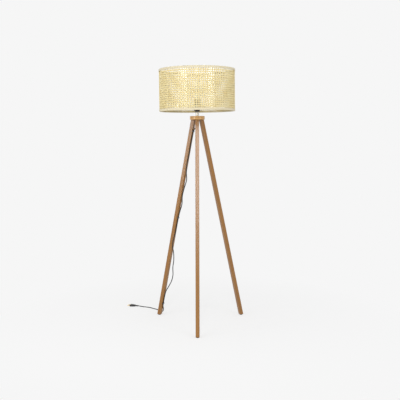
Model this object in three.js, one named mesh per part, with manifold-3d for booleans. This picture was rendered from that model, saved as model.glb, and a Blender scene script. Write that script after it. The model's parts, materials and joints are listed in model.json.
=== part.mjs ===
// Tripod floor lamp: a drum shade of woven cane over a turned hub on three straight wooden legs.
// Lengths are in millimetres and +Z is up. The origin is on the floor, under the middle of the box
// that the lamp fills without its cord. The front leg points along -Y.

import * as THREE from "three";
import { mergeVertices } from "three/addons/utils/BufferGeometryUtils.js";
import Module from "manifold-3d";

const wasm = await Module();
wasm.setup();

// Clearances
const gap = 0.3; // between two pieces that rest on each other
const overrun = 3; // how far a cutting tool runs past the face that it cuts
const weld = 0.0001; // points closer than this are one point

// Sides of round pieces
const drumSides = 48;
const roundSides = 36;
const smallSides = 20;
const boltSides = 12;
const wireSides = 6;
const arcSteps = 6;

// Lamp and shade
const lampHeight = 1525;
const shadeHeight = 245;
const shadeDiameter = 450;
const bindingThickness = 1.2;
const bindingHeight = 13;
const bindingLiningHeight = 9;
const caneThickness = 2.2;
const caneColumns = 24; // a coarse grid of openings stands for the weave's fine holes
const caneRows = 4;
const caneOpenShare = 0.57; // of a column's width and of a row's height
const caneCornerShare = 0.29; // of an opening's sides, cut off at each corner
const ringWireDiameter = 3;
const seamWidth = 14;
const seamThickness = 1;

// Shade carrier
const fitterDiameter = 60;
const fitterThickness = 1.5;
const spokeDiameter = 3;
const spokeCount = 3;
const ringNutDiameter = 52;
const ringNutHeight = 7;
const ringNutGrips = 16;
const ringNutGripDepth = 1;

// Hub
const hubDiameter = 88;
const hubThickness = 21;
const hubEdge = 1.5;
const hubRecessDiameter = 26;
const hubRecessDepth = 14.5;

// Legs
const legSection = 22;
const legEdgeRadius = 1.5;
const legEdgeSteps = 2;
const footRadius = 300.2;
const legTopRadius = 27.5;
const legAngles = [-90, 30, 150].map(THREE.MathUtils.degToRad);
const legNames = ["front", "back_right", "back_left"];
const padHeight = 4;
const padDiameter = 18;
const padEdge = 1;

// Leg bolts and the threaded inserts that they screw into
const boltDiameter = 8;
const boltInLeg = 55;
const boltInHub = 13;
const boltTip = 6;
const insertDiameter = 12;
const insertSetback = 2;

// Stem, threaded tube and what clamps it under the hub
const stemShown = 26;
const stemDiameter = 19;
const stemWall = 1.5;
const tubeDiameter = 10;
const tubeWall = 1.4;
const tubeIntoHolder = 10;
const washerDiameter = 24;
const washerThickness = 1.5;
const nutAcrossFlats = 17;
const nutFlats = 6;
const nutHeight = 5.5;
const bushDiameter = 14;
const bushHeight = 6;
const bushEdge = 1.5;

// Lampholder
const holderDrop = 2; // its base hangs this far below the shade
const holderBaseDiameter = 28;
const holderDiameter = 43;
const holderCapHeight = 25;
const holderCapShoulder = 12;
const holderBodyHeight = 45;
const holderFlangeHeight = 3.4;
const holderSkirtDiameter = 39.6;
const holderWall = 2;
const holderFloor = 4;
const socketCoreFloor = 12;
const shellWall = 0.5;
const contactWidth = 5;
const contactThickness = 0.6;
const contactLength = 12;
const contactRise = 2.4;

// Rotary switch
const knobDiameter = 12;
const knobLength = 12;
const knobFlutes = 12;
const knobFluteDepth = 0.5;
const shaftDiameter = 4;
const switchHeight = 18; // shaft above the holder's base
const switchBlockWidth = 11;
const switchBlockDepth = 8;
const switchBlockHeight = 7;
const shaftInBlock = 4;

// Bulb
const bulbDiameter = 60;
const bulbLength = 105;
const bulbCapDiameter = 26.2;
const bulbCapHeight = 23;
const bulbCapWall = 0.6;
const bulbTipDiameter = 9.6;
const bulbTipHeight = 2.4;
const bulbNeckDiameter = 24.4;
const bulbNeckInCap = 8;
const globeShare = 0.62; // how far down the globe its round part runs, of its radius
const glassThickness = 1;
const bulbSteps = 8;
const filamentCount = 4;
const filamentDiameter = 1.8;
const filamentLength = 34;
const filamentRingRadius = 9;
const filamentTopRadius = 3;
const filamentPlateThickness = 1;
const glassStemRise = 26;
const glassStemDiameter = 6;

// Cord, clips and plug
const cordDiameter = 5.5;
const cordSides = 8;
const coreDiameter = 2;
const coreSpread = 1.4;
const coreReach = 6;
const coreEndShare = 0.55; // how far out the cores end, of the socket's inside radius
const coreSteps = 6;
const clipLength = 8;
const clipWall = 1.6;
const clipRoom = 0.8;
const clipBossWidth = 5;
const clipBossHeight = 6.2;
const clipAboveFoot = 80;
const clipBelowHub = 65.9;
const middleClipShare = 0.5138; // of the way from the low clip to the high one
const nailDiameter = 1.6;
const nailHeadDiameter = 4;
const nailHeadThickness = 1;
const nailInLeg = 9;
const nailTip = 2;
const reliefLength = 22;
const reliefEndDiameter = 7.5;
const reliefRootDiameter = 10;
const plugLength = 34;
const plugWidth = 33;
const plugNeckWidth = 15;
const plugThickness = 13;
const plugEdge = 2;
const plugWaistShare = 0.33; // how far along the body its sides bend
const pinDiameter = 4;
const pinLength = 19;
const pinInBody = 8.5;
const pinSpacing = 18.6;
const pinTip = 1;

// The cord's route from the bush under the hub, down the back left leg and out over the floor, measured
// from the floor under the stem. It has a point at the middle of each clip, and ends at the plug.
const cordRoute = [
  [0, 0, 1230.7],
  [0, 0, 1219.6],
  [-1.8, 1, 1206.6],
  [-8.5, 4.9, 1189.4],
  [-18.2, 10.5, 1174.8],
  [-24.2, 13.9, 1163],
  [-29.3, 15.7, 1138.1],
  [-41.6, 18.2, 1084.4],
  [-54.8, 25.9, 1016.1],
  [-67.1, 28.3, 962.4],
  [-70.9, 38.6, 913.1],
  [-71.3, 51.6, 868.5],
  [-85.8, 54.1, 820.4],
  [-98.3, 57.9, 772],
  [-102.7, 68.5, 717.7],
  [-115.7, 70.3, 674.3],
  [-125.4, 72.4, 636.1],
  [-135.5, 74.7, 591.6],
  [-146.8, 79, 537.9],
  [-159.8, 75, 493.8],
  [-164.5, 82.3, 454.6],
  [-160.1, 95.9, 409.2],
  [-160.4, 103.1, 364],
  [-167.5, 110.6, 314.9],
  [-168.1, 115.5, 264.4],
  [-178, 118.9, 225.7],
  [-194.7, 121.7, 193.4],
  [-213.2, 124.3, 161.4],
  [-224.2, 129.5, 123.1],
  [-232.7, 134.3, 79.2],
  [-235.7, 136.5, 61.6],
  [-234.5, 151.5, 35.5],
  [-243.4, 182.7, 12.4],
  [-256.6, 211.9, 4.4],
  [-271.9, 237.3, 3.2],
  [-288.7, 254.3, 3.2],
  [-317.6, 279.5, 3.2],
  [-340.3, 298.6, 3.2],
  [-384, 317.3, 3.4],
  [-420.4, 327.9, 6.5],
];
const cordStretches = [
  { name: "cord_top", from: 0, to: 5, steps: 9 },
  { name: "cord_upper", from: 5, to: 16, steps: 26 },
  { name: "cord_lower", from: 16, to: 29, steps: 27 },
  { name: "cord_floor", from: 29, to: 39, steps: 18 },
];

// Heights of the stack, from the shade down to the floor
const shadeBottom = lampHeight - shadeHeight;
const holderBottom = shadeBottom - holderDrop;
const hubTop = holderBottom - stemShown;
const hubBottom = hubTop - hubThickness;
const legTop = hubBottom - gap;
const legBottom = padHeight + gap;
const capTop = holderBottom + holderCapHeight;
const bodyBottom = capTop + gap;
const bodyTop = bodyBottom + holderBodyHeight;
const fitterBottom = bodyBottom + holderFlangeHeight + gap;
const fitterTop = fitterBottom + fitterThickness;
const coreFloorTop = bodyBottom + socketCoreFloor;
const bulbTip = coreFloorTop + contactThickness + contactRise + gap;
const bulbCapBottom = bulbTip + bulbTipHeight + gap;
const bulbCapTop = bulbCapBottom + bulbCapHeight;

// Radii that follow from the pieces that they fit
const caneRadius = shadeDiameter / 2 - bindingThickness - gap;
const caneInside = caneRadius - caneThickness;
const ringRadius = caneInside - gap - ringWireDiameter / 2;
const liningRadius = ringRadius - ringWireDiameter / 2 - gap;
const skirtHole = holderSkirtDiameter / 2 + gap;
const tubeHole = tubeDiameter / 2 + gap;
const tubeBore = tubeDiameter / 2 - tubeWall;
const shellInside = bulbCapDiameter / 2 + gap + gap;
const shellOutside = shellInside + shellWall;
const coreRadius = holderSkirtDiameter / 2 - holderWall - gap;
const shaftHole = shaftDiameter / 2 + gap;
const cordRadius = cordDiameter / 2;
const clipHole = cordRadius + clipRoom;
const cordOffLeg = clipHole + gap;

// Lean of the legs, and the shift that puts the lamp's box over the origin
const legRise = legTop - legBottom;
const lean = Math.atan2(footRadius - legTopRadius, legRise);
const legLength = legRise / Math.cos(lean);
const legSectionAcross = legSection / Math.cos(lean);
const boxShift = (footRadius + legSectionAcross / 2 - shadeDiameter / 2) / 2;
const axisAtHub = legTopRadius - gap * Math.tan(lean);

// Finishes
function finish(color, roughness, metalness) {
  return new THREE.MeshStandardMaterial({ color, roughness, metalness, flatShading: true });
}
const cane = finish("#e6d7a8", 0.6, 0);
const tape = finish("#e9dfc2", 0.8, 0);
const wood = finish("#c89a63", 0.5, 0);
const darkWood = finish("#b07a43", 0.5, 0);
const black = finish("#1b1a19", 0.4, 0);
const rubber = finish("#3a2f27", 0.9, 0);
const chrome = finish("#d4d6d8", 0.15, 1);
const steel = finish("#b4b6b8", 0.35, 1);
const brass = finish("#c9a85c", 0.3, 1);
const enamel = finish("#efeadb", 0.4, 0);
const porcelain = finish("#f1efe8", 0.3, 0);
const glass = finish("#f4f7f6", 0.05, 0);
const phosphor = finish("#e8c25a", 0.6, 0);
const neutralSleeve = finish("#2f62a8", 0.5, 0);
const liveSleeve = finish("#6b3f22", 0.5, 0);

// Makes one closed body of a geometry, with its faces pointing out
function closedBody(geometry) {
  geometry.deleteAttribute("normal");
  geometry.deleteAttribute("uv");
  const merged = mergeVertices(geometry, weld);
  const points = merged.getAttribute("position");
  const corners = [new THREE.Vector3(), new THREE.Vector3(), new THREE.Vector3()];
  const kept = [];
  let volume = 0;
  for (let i = 0; i < merged.index.count; i += corners.length) {
    const face = corners.map((corner, n) => merged.index.getX(i + n));
    if (new Set(face).size < corners.length) continue;
    corners.forEach((corner, n) => corner.fromBufferAttribute(points, face[n]));
    volume += corners[0].dot(corners[1].clone().cross(corners[2]));
    kept.push(face);
  }
  merged.setIndex(kept.flatMap(([a, b, c]) => (volume < 0 ? [a, c, b] : [a, b, c])));
  return merged;
}

function solidOf(geometry) {
  const vertProperties = geometry.getAttribute("position").array;
  const triVerts = Uint32Array.from(geometry.index.array);
  return new wasm.Manifold(new wasm.Mesh({ numProp: 3, vertProperties, triVerts }));
}

function geometryOf(solid) {
  const { vertProperties, triVerts } = solid.getMesh();
  const geometry = new THREE.BufferGeometry();
  geometry.setAttribute("position", new THREE.BufferAttribute(vertProperties, 3));
  geometry.setIndex(new THREE.BufferAttribute(triVerts, 1));
  return geometry;
}

function cut(geometry, ...tools) {
  return geometryOf(tools.reduce((solid, tool) => solid.subtract(solidOf(tool)), solidOf(geometry)));
}

function join(...geometries) {
  return geometryOf(geometries.map(solidOf).reduce((all, solid) => all.add(solid)));
}

// A turned piece: the profile is a list of radius and height, and meets the axis or closes on itself
function turned(profile, sides) {
  const points = profile.map(([radius, height]) => new THREE.Vector2(radius, height));
  return closedBody(new THREE.LatheGeometry(points, sides).rotateX(Math.PI / 2));
}

function turnedRing(profile, sides) {
  return turned([...profile, profile[0]], sides);
}

function sleeve(inside, outside, bottom, top, sides) {
  return turnedRing([[inside, bottom], [outside, bottom], [outside, top], [inside, top]], sides);
}

function cylinder(radius, bottom, top, sides) {
  return turned([[0, bottom], [radius, bottom], [radius, top], [0, top]], sides);
}

function wireRing(radius, wireRadius, height) {
  return closedBody(
    new THREE.TorusGeometry(radius, wireRadius, wireSides, drumSides).translate(0, 0, height),
  );
}

function extruded(shape, length, curveSegments) {
  const options = { depth: length, bevelEnabled: false, curveSegments };
  return closedBody(new THREE.ExtrudeGeometry(shape, options));
}

function roundedRectangle(width, height, radius) {
  const x = width / 2;
  const y = height / 2;
  const shape = new THREE.Shape();
  shape.moveTo(x, radius - y);
  shape.lineTo(x, y - radius);
  shape.absarc(x - radius, y - radius, radius, 0, Math.PI / 2);
  shape.absarc(radius - x, y - radius, radius, Math.PI / 2, Math.PI);
  shape.absarc(radius - x, radius - y, radius, Math.PI, -Math.PI / 2);
  shape.absarc(x - radius, radius - y, radius, -Math.PI / 2, 0);
  return shape;
}

// A circle whose edge has evenly spaced shallow grips
function grippedCircle(radius, grips, depth) {
  const count = grips + grips;
  const shape = new THREE.Shape();
  for (let i = 0; i < count; i += 1) {
    const reach = i % 2 ? radius - depth : radius;
    const angle = (i / count) * Math.PI * 2;
    const place = [reach * Math.cos(angle), reach * Math.sin(angle)];
    if (i) shape.lineTo(...place);
    else shape.moveTo(...place);
  }
  return shape;
}

function circleHole(radius) {
  return new THREE.Path().absarc(0, 0, radius, 0, Math.PI * 2, true);
}

const lamp = new THREE.Group();
lamp.position.y = boxShift;

function add(name, geometry, material, group = lamp) {
  const mesh = new THREE.Mesh(geometry, material);
  mesh.name = name;
  group.add(mesh);
  return mesh;
}

// Shade
function bindingGeometry(edge, inward) {
  const outside = shadeDiameter / 2;
  const wall = edge + inward * bindingThickness;
  return turnedRing(
    [
      [outside, edge],
      [outside, edge + inward * bindingHeight],
      [outside - bindingThickness, edge + inward * bindingHeight],
      [outside - bindingThickness, wall],
      [liningRadius, wall],
      [liningRadius, edge + inward * bindingLiningHeight],
      [liningRadius - bindingThickness, edge + inward * bindingLiningHeight],
      [liningRadius - bindingThickness, edge],
    ],
    drumSides,
  );
}

function caneOpenings() {
  const rowHeight = (shadeHeight - bindingHeight - bindingHeight) / caneRows;
  const columnTurn = (Math.PI * 2) / caneColumns;
  const x = (caneRadius * columnTurn * caneOpenShare) / 2;
  const y = (rowHeight * caneOpenShare) / 2;
  const cornerX = x - x * 2 * caneCornerShare;
  const cornerY = y - y * 2 * caneCornerShare;
  const corners = [
    [x, -cornerY],
    [x, cornerY],
    [cornerX, y],
    [-cornerX, y],
    [-x, cornerY],
    [-x, -cornerY],
    [-cornerX, -y],
    [cornerX, -y],
  ];
  const shape = new THREE.Shape(corners.map((corner) => new THREE.Vector2(...corner)));
  const depth = overrun + caneThickness + overrun;
  return Array.from({ length: caneColumns * caneRows }, (_, number) => {
    const row = Math.floor(number / caneColumns);
    const height = shadeBottom + bindingHeight + rowHeight * (row + 0.5);
    return extruded(shape, depth, 1)
      .rotateX(Math.PI / 2)
      .translate(0, overrun - caneInside, height)
      .rotateZ(columnTurn * (number + 0.5));
  });
}

function spokeAngle(number) {
  return Math.PI / 2 + (number / spokeCount) * Math.PI * 2;
}

const ringInset = bindingThickness + gap + ringWireDiameter / 2;
const spokeStart = new THREE.Vector3(fitterDiameter / 2 + gap, 0, (fitterBottom + fitterTop) / 2);
const spokeEnd = new THREE.Vector3(
  ringRadius - ringWireDiameter / 2 - gap,
  0,
  shadeBottom + ringInset,
);

function alongSpoke(radius, past, number) {
  const way = spokeEnd.clone().sub(spokeStart);
  const tool = cylinder(radius, 0, way.length() + past, boltSides);
  const turn = new THREE.Quaternion().setFromUnitVectors(
    new THREE.Vector3(0, 0, 1),
    way.clone().normalize(),
  );
  return tool
    .applyQuaternion(turn)
    .translate(spokeStart.x, spokeStart.y, spokeStart.z)
    .rotateZ(spokeAngle(number));
}

function seamGeometry() {
  const bottom = shadeBottom + bindingHeight + gap;
  const height = shadeHeight - bindingHeight - bindingHeight - gap - gap;
  const outside = caneInside * Math.cos(Math.PI / drumSides) - gap;
  const halfAngle = seamWidth / outside / 2;
  const shape = new THREE.Shape();
  shape.absarc(0, 0, outside, Math.PI / 2 - halfAngle, Math.PI / 2 + halfAngle);
  shape.absarc(0, 0, outside - seamThickness, Math.PI / 2 + halfAngle, Math.PI / 2 - halfAngle, true);
  return extruded(shape, height, arcSteps).translate(0, 0, bottom);
}

function addShade() {
  const edgeInset = bindingThickness + gap;
  const spokes = Array.from({ length: spokeCount }, (_, number) => number);
  const spokeHole = spokeDiameter / 2 + gap;
  const holes = spokes.map((number) => alongSpoke(spokeHole, gap, number));
  const drumTop = lampHeight - edgeInset;
  const drum = sleeve(caneInside, caneRadius, shadeBottom + edgeInset, drumTop, drumSides);
  add("shade_cane", cut(drum, ...caneOpenings()), cane);
  add("shade_top_binding", bindingGeometry(lampHeight, -1), tape);
  add("shade_bottom_binding", cut(bindingGeometry(shadeBottom, 1), ...holes), tape);
  add("shade_seam_strip", seamGeometry(), tape);
  add("shade_upper_ring", wireRing(ringRadius, ringWireDiameter / 2, lampHeight - ringInset), enamel);
  add("shade_lower_ring", wireRing(ringRadius, ringWireDiameter / 2, shadeBottom + ringInset), enamel);
  add("shade_fitter", sleeve(skirtHole, fitterDiameter / 2, fitterBottom, fitterTop, roundSides), enamel);
  spokes.forEach((number) => {
    add(`shade_spoke_${number + 1}`, alongSpoke(spokeDiameter / 2, 0, number), enamel);
  });
  const nutShape = grippedCircle(ringNutDiameter / 2, ringNutGrips, ringNutGripDepth);
  nutShape.holes.push(circleHole(skirtHole));
  const nut = extruded(nutShape, ringNutHeight, roundSides).translate(0, 0, fitterTop + gap);
  add("shade_ring_nut", nut, black);
}

// Hub and legs
function alongLegAxis(geometry) {
  return geometry.rotateY(-lean).translate(axisAtHub, 0, hubBottom);
}

function onInnerFace(geometry, distance, group) {
  const mount = new THREE.Group();
  mount.position.set(footRadius, 0, legBottom);
  mount.rotation.y = -lean;
  group.add(mount);
  geometry.translate(-legSection / 2, 0, distance);
  return mount;
}

function hubGeometry() {
  const radius = hubDiameter / 2;
  const recessTop = hubBottom + hubRecessDepth;
  const body = turnedRing(
    [
      [tubeHole, hubTop],
      [radius - hubEdge, hubTop],
      [radius, hubTop - hubEdge],
      [radius, hubBottom + hubEdge],
      [radius - hubEdge, hubBottom],
      [hubRecessDiameter / 2, hubBottom],
      [hubRecessDiameter / 2, recessTop],
      [tubeHole, recessTop],
    ],
    roundSides,
  );
  const depth = boltInHub + gap + gap;
  const hole = insertDiameter / 2 + gap;
  const holes = legAngles.map((angle) =>
    alongLegAxis(cylinder(hole, -overrun, depth, boltSides)).rotateZ(angle),
  );
  return cut(body, ...holes);
}

const clipHeights = [
  clipAboveFoot,
  THREE.MathUtils.lerp(clipAboveFoot, legLength - clipBelowHub, middleClipShare),
  legLength - clipBelowHub,
];
const nailAcross = clipHole + clipWall + clipBossWidth / 2;

function nailHoleGeometry(height) {
  const hole = cylinder(nailDiameter / 2 + gap, -overrun, nailInLeg + gap, boltSides);
  return hole
    .rotateY(Math.PI / 2)
    .translate(-legSection / 2, nailAcross, height)
    .rotateY(-lean)
    .translate(footRadius, 0, legBottom);
}

function legGeometry(tools) {
  const section = roundedRectangle(legSectionAcross, legSection, legEdgeRadius);
  const slope = new THREE.Matrix4().set(
    1, 0, -Math.tan(lean), footRadius,
    0, 1, 0, 0,
    0, 0, 1, legBottom,
    0, 0, 0, 1,
  );
  const blank = extruded(section, legRise, legEdgeSteps).applyMatrix4(slope);
  const hole = boltDiameter / 2 + gap;
  const drilled = alongLegAxis(cylinder(hole, -boltInLeg - gap, overrun, smallSides));
  return cut(blank, drilled, ...tools);
}

function boltGeometry() {
  const radius = boltDiameter / 2;
  const profile = [
    [0, -boltInLeg],
    [radius, boltTip - boltInLeg],
    [radius, boltInHub],
    [0, boltInHub],
  ];
  return alongLegAxis(turned(profile, boltSides));
}

function padGeometry() {
  const radius = padDiameter / 2;
  const profile = [
    [0, 0],
    [radius - padEdge, 0],
    [radius, padEdge],
    [radius, padHeight],
    [0, padHeight],
  ];
  return turned(profile, smallSides).translate(footRadius, 0, 0);
}

function clipGeometry() {
  const middle = cordOffLeg - gap;
  const outside = clipHole + clipWall;
  const edge = outside + clipBossWidth;
  const shape = new THREE.Shape();
  shape.moveTo(-outside, 0);
  shape.lineTo(-outside, middle);
  shape.absarc(0, middle, outside, Math.PI, 0, true);
  shape.lineTo(outside, clipBossHeight);
  shape.lineTo(edge, clipBossHeight);
  shape.lineTo(edge, 0);
  shape.lineTo(clipHole, 0);
  shape.lineTo(clipHole, middle);
  shape.absarc(0, middle, clipHole, 0, Math.PI);
  shape.lineTo(-clipHole, 0);
  const saddle = extruded(shape, clipLength, boltSides).translate(0, 0, -clipLength / 2);
  const hole = cylinder(nailDiameter / 2 + gap, -overrun, clipBossHeight + overrun, boltSides)
    .rotateX(-Math.PI / 2)
    .translate(nailAcross, 0, 0);
  return cut(saddle, hole).rotateZ(Math.PI / 2).translate(-gap, 0, 0);
}

function nailGeometry() {
  const radius = nailDiameter / 2;
  const underHead = -gap - clipBossHeight - gap;
  const profile = [
    [0, nailInLeg],
    [radius, nailInLeg - nailTip],
    [radius, underHead],
    [nailHeadDiameter / 2, underHead],
    [nailHeadDiameter / 2, underHead - nailHeadThickness],
    [0, underHead - nailHeadThickness],
  ];
  return turned(profile, boltSides).rotateY(Math.PI / 2).translate(0, nailAcross, 0);
}

function addStand() {
  add("hub", hubGeometry(), darkWood);
  legAngles.forEach((angle, number) => {
    const group = new THREE.Group();
    group.rotation.z = angle;
    lamp.add(group);
    const side = legNames[number];
    const carriesCord = side === "back_left";
    const nailHoles = carriesCord ? clipHeights.map(nailHoleGeometry) : [];
    const insertHole = boltDiameter / 2 + gap;
    const insert = sleeve(insertHole, insertDiameter / 2, insertSetback, boltInHub, boltSides);
    add(`leg_${side}`, legGeometry(nailHoles), wood, group);
    add(`foot_pad_${side}`, padGeometry(), rubber, group);
    add(`leg_bolt_${side}`, boltGeometry(), steel, group);
    add(`hub_insert_${side}`, alongLegAxis(insert), brass, group);
    if (!carriesCord) return;
    ["low", "middle", "high"].forEach((place, n) => {
      const clip = clipGeometry();
      const nail = nailGeometry();
      add(`cord_clip_${place}`, clip, black, onInnerFace(clip, clipHeights[n], group));
      add(`clip_nail_${place}`, nail, steel, onInnerFace(nail, clipHeights[n], group));
    });
  });
}

// Stem, and the threaded tube that clamps the lampholder, stem and hub together
function hexNutGeometry(bottom) {
  const shape = new THREE.Shape();
  const reach = nutAcrossFlats / 2 / Math.cos(Math.PI / nutFlats);
  for (let i = 0; i < nutFlats; i += 1) {
    const angle = (i / nutFlats) * Math.PI * 2;
    const place = [reach * Math.cos(angle), reach * Math.sin(angle)];
    if (i) shape.lineTo(...place);
    else shape.moveTo(...place);
  }
  shape.holes.push(circleHole(tubeHole));
  return extruded(shape, nutHeight, smallSides).translate(0, 0, bottom);
}

function addStem() {
  const washerTop = hubBottom + hubRecessDepth - gap;
  const washerBottom = washerTop - washerThickness;
  const nutBottom = washerBottom - gap - nutHeight;
  const bushTop = nutBottom - gap;
  const bushBottom = bushTop - bushHeight;
  const tubeBottom = bushBottom + bushEdge + gap;
  const bushRadius = bushDiameter / 2;
  const stemRadius = stemDiameter / 2;
  const cordEnd = holderBottom + tubeIntoHolder + coreReach;
  add(
    "stem",
    sleeve(stemRadius - stemWall, stemRadius, hubTop + gap, holderBottom - gap, smallSides),
    chrome,
  );
  add(
    "threaded_tube",
    sleeve(tubeBore, tubeDiameter / 2, tubeBottom, holderBottom + tubeIntoHolder, smallSides),
    steel,
  );
  add("tube_washer", sleeve(tubeHole, washerDiameter / 2, washerBottom, washerTop, smallSides), steel);
  add("tube_nut", hexNutGeometry(nutBottom), steel);
  const bush = turnedRing(
    [
      [cordRadius + gap, bushBottom],
      [bushRadius - bushEdge, bushBottom],
      [bushRadius, bushBottom + bushEdge],
      [bushRadius, bushTop],
      [tubeHole, bushTop],
      [tubeHole, bushBottom + bushEdge],
      [cordRadius + gap, bushBottom + bushEdge],
    ],
    smallSides,
  );
  add("cord_bush", bush, black);
  add("cord_in_tube", cylinder(cordRadius, bushBottom, cordEnd, cordSides), black);
  const coreTop = bodyBottom - gap;
  [-1, 1].forEach((side, number) => {
    const wire = new THREE.CubicBezierCurve3(
      new THREE.Vector3(side * coreSpread, 0, cordEnd + gap),
      new THREE.Vector3(side * coreSpread, 0, (cordEnd + coreTop) / 2),
      new THREE.Vector3(side * shellInside * coreEndShare, 0, (cordEnd + coreTop) / 2),
      new THREE.Vector3(side * shellInside * coreEndShare, 0, coreTop),
    );
    const section = new THREE.Shape().absarc(0, 0, coreDiameter / 2, 0, Math.PI * 2);
    const options = { steps: coreSteps, extrudePath: wire, curveSegments: wireSides };
    const geometry = closedBody(new THREE.ExtrudeGeometry(section, options));
    add(number ? "core_live" : "core_neutral", geometry, number ? liveSleeve : neutralSleeve);
  });
}

// Lampholder with its rotary switch
const switchLine = holderBottom + switchHeight;

function facingFront(geometry, distance) {
  return geometry.rotateX(Math.PI / 2).translate(0, -distance, switchLine);
}

function holderCapGeometry() {
  const outside = holderDiameter / 2;
  const base = holderBaseDiameter / 2;
  const inside = outside - holderWall;
  const floor = holderBottom + holderFloor;
  const shoulder = holderBottom + holderCapShoulder;
  const bossRadius = tubeHole + holderWall + gap;
  const body = turnedRing(
    [
      [tubeHole, holderBottom],
      [base - holderWall, holderBottom],
      [base, holderBottom + holderWall],
      [outside, shoulder],
      [outside, capTop],
      [inside, capTop],
      [inside, shoulder + holderWall],
      [base - holderWall, floor],
      [bossRadius, floor],
      [bossRadius, holderBottom + tubeIntoHolder],
      [tubeHole, holderBottom + tubeIntoHolder],
    ],
    roundSides,
  );
  return cut(body, facingFront(cylinder(shaftHole, 0, holderDiameter, boltSides), 0));
}

function holderBodyGeometry() {
  const outside = holderDiameter / 2;
  const skirt = holderSkirtDiameter / 2;
  return turnedRing(
    [
      [skirt - holderWall, bodyBottom],
      [outside, bodyBottom],
      [outside, bodyBottom + holderFlangeHeight],
      [skirt, bodyBottom + holderFlangeHeight],
      [skirt, bodyTop],
      [skirt - holderWall, bodyTop],
    ],
    roundSides,
  );
}

function socketCoreGeometry() {
  const inside = shellOutside + gap;
  const top = bodyTop - holderWall;
  return turned(
    [
      [0, bodyBottom],
      [coreRadius, bodyBottom],
      [coreRadius, top],
      [inside, top],
      [inside, coreFloorTop],
      [0, coreFloorTop],
    ],
    roundSides,
  );
}

function contactGeometry() {
  const half = contactLength / 2;
  const rise = contactRise;
  const shape = new THREE.Shape();
  shape.moveTo(-half, 0);
  shape.lineTo(half, 0);
  shape.lineTo(half, contactThickness);
  shape.lineTo(contactThickness - half + contactThickness, contactThickness);
  shape.lineTo(0, rise);
  shape.lineTo(half / 2, rise);
  shape.lineTo(half / 2, rise + contactThickness);
  shape.lineTo(-contactThickness, rise + contactThickness);
  shape.lineTo(-half, contactThickness);
  return extruded(shape, contactWidth, 1)
    .rotateX(Math.PI / 2)
    .translate(0, contactWidth / 2, coreFloorTop + gap / 2);
}

function addHolder() {
  const knobStart = holderDiameter / 2 + gap + gap;
  const capInside = (holderDiameter / 2 - holderWall) * Math.cos(Math.PI / roundSides);
  const blockFace = Math.sqrt(capInside ** 2 - (switchBlockWidth / 2) ** 2) - gap;
  const shaftEnd = blockFace - shaftInBlock;
  add("holder_cap", holderCapGeometry(), black);
  add("holder_body", holderBodyGeometry(), black);
  add("socket_core", socketCoreGeometry(), porcelain);
  const shellTop = bodyTop - holderWall - gap;
  const shell = sleeve(shellInside, shellOutside, coreFloorTop + gap, shellTop, smallSides);
  add("screw_shell", shell, brass);
  add("centre_contact", contactGeometry(), brass);
  const block = new THREE.BoxGeometry(switchBlockWidth, switchBlockDepth, switchBlockHeight);
  block.translate(0, switchBlockDepth / 2 - blockFace, switchLine);
  const shaftRoom = cylinder(shaftHole, shaftEnd - gap, blockFace + overrun, boltSides);
  add("switch_block", cut(closedBody(block), facingFront(shaftRoom, 0)), porcelain);
  const knobEnd = knobStart + knobLength;
  const shaft = cylinder(shaftDiameter / 2, shaftEnd, knobEnd - gap, boltSides);
  add("switch_shaft", facingFront(shaft, 0), brass);
  const knobShape = grippedCircle(knobDiameter / 2, knobFlutes, knobFluteDepth);
  knobShape.holes.push(circleHole(shaftHole));
  add("switch_knob", facingFront(extruded(knobShape, knobLength, boltSides), knobStart), black);
}

// Bulb
function glassProfile(inset) {
  const radius = bulbDiameter / 2 - inset;
  const middle = bulbTip + bulbLength - bulbDiameter / 2;
  const neck = bulbNeckDiameter / 2 - inset;
  const neckTop = bulbCapTop + bulbNeckInCap;
  const start = -Math.asin(globeShare);
  const points = [];
  for (let i = 0; i <= bulbSteps; i += 1) {
    const angle = THREE.MathUtils.lerp(Math.PI / 2, start, i / bulbSteps);
    points.push([radius * Math.cos(angle), middle + radius * Math.sin(angle)]);
  }
  points[0][0] = 0;
  points.push([neck, neckTop], [neck, bulbCapTop - bulbNeckInCap]);
  return points;
}

function filamentGeometry() {
  const stemBottom = bulbCapTop - bulbNeckInCap;
  const stemTop = stemBottom + glassStemRise;
  const middle = bulbTip + bulbLength - bulbDiameter / 2;
  const bottom = middle - filamentLength / 2;
  const flare = bulbNeckDiameter / 2 - glassThickness - gap;
  const stemRadius = glassStemDiameter / 2;
  const stem = turned(
    [
      [0, stemBottom],
      [flare, stemBottom],
      [stemRadius, (stemBottom + stemTop) / 2],
      [stemRadius, bottom],
      [filamentRingRadius, bottom],
      [filamentRingRadius, bottom + filamentPlateThickness],
      [filamentDiameter / 2, bottom + filamentPlateThickness],
      [filamentDiameter / 2, bottom + filamentLength],
      [filamentTopRadius, bottom + filamentLength],
      [filamentTopRadius, bottom + filamentLength + filamentPlateThickness],
      [0, bottom + filamentLength + filamentPlateThickness],
    ],
    boltSides,
  );
  const reach = filamentRingRadius - filamentDiameter;
  const tilt = Math.atan2(reach - filamentTopRadius + filamentDiameter / 2, filamentLength);
  const length = filamentLength / Math.cos(tilt) + filamentPlateThickness / 2;
  const rods = Array.from({ length: filamentCount }, (_, number) =>
    cylinder(filamentDiameter / 2, 0, length, wireSides)
      .rotateY(-tilt)
      .translate(reach, 0, bottom + filamentPlateThickness / 2)
      .rotateZ((number / filamentCount) * Math.PI * 2),
  );
  return join(stem, ...rods);
}

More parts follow.
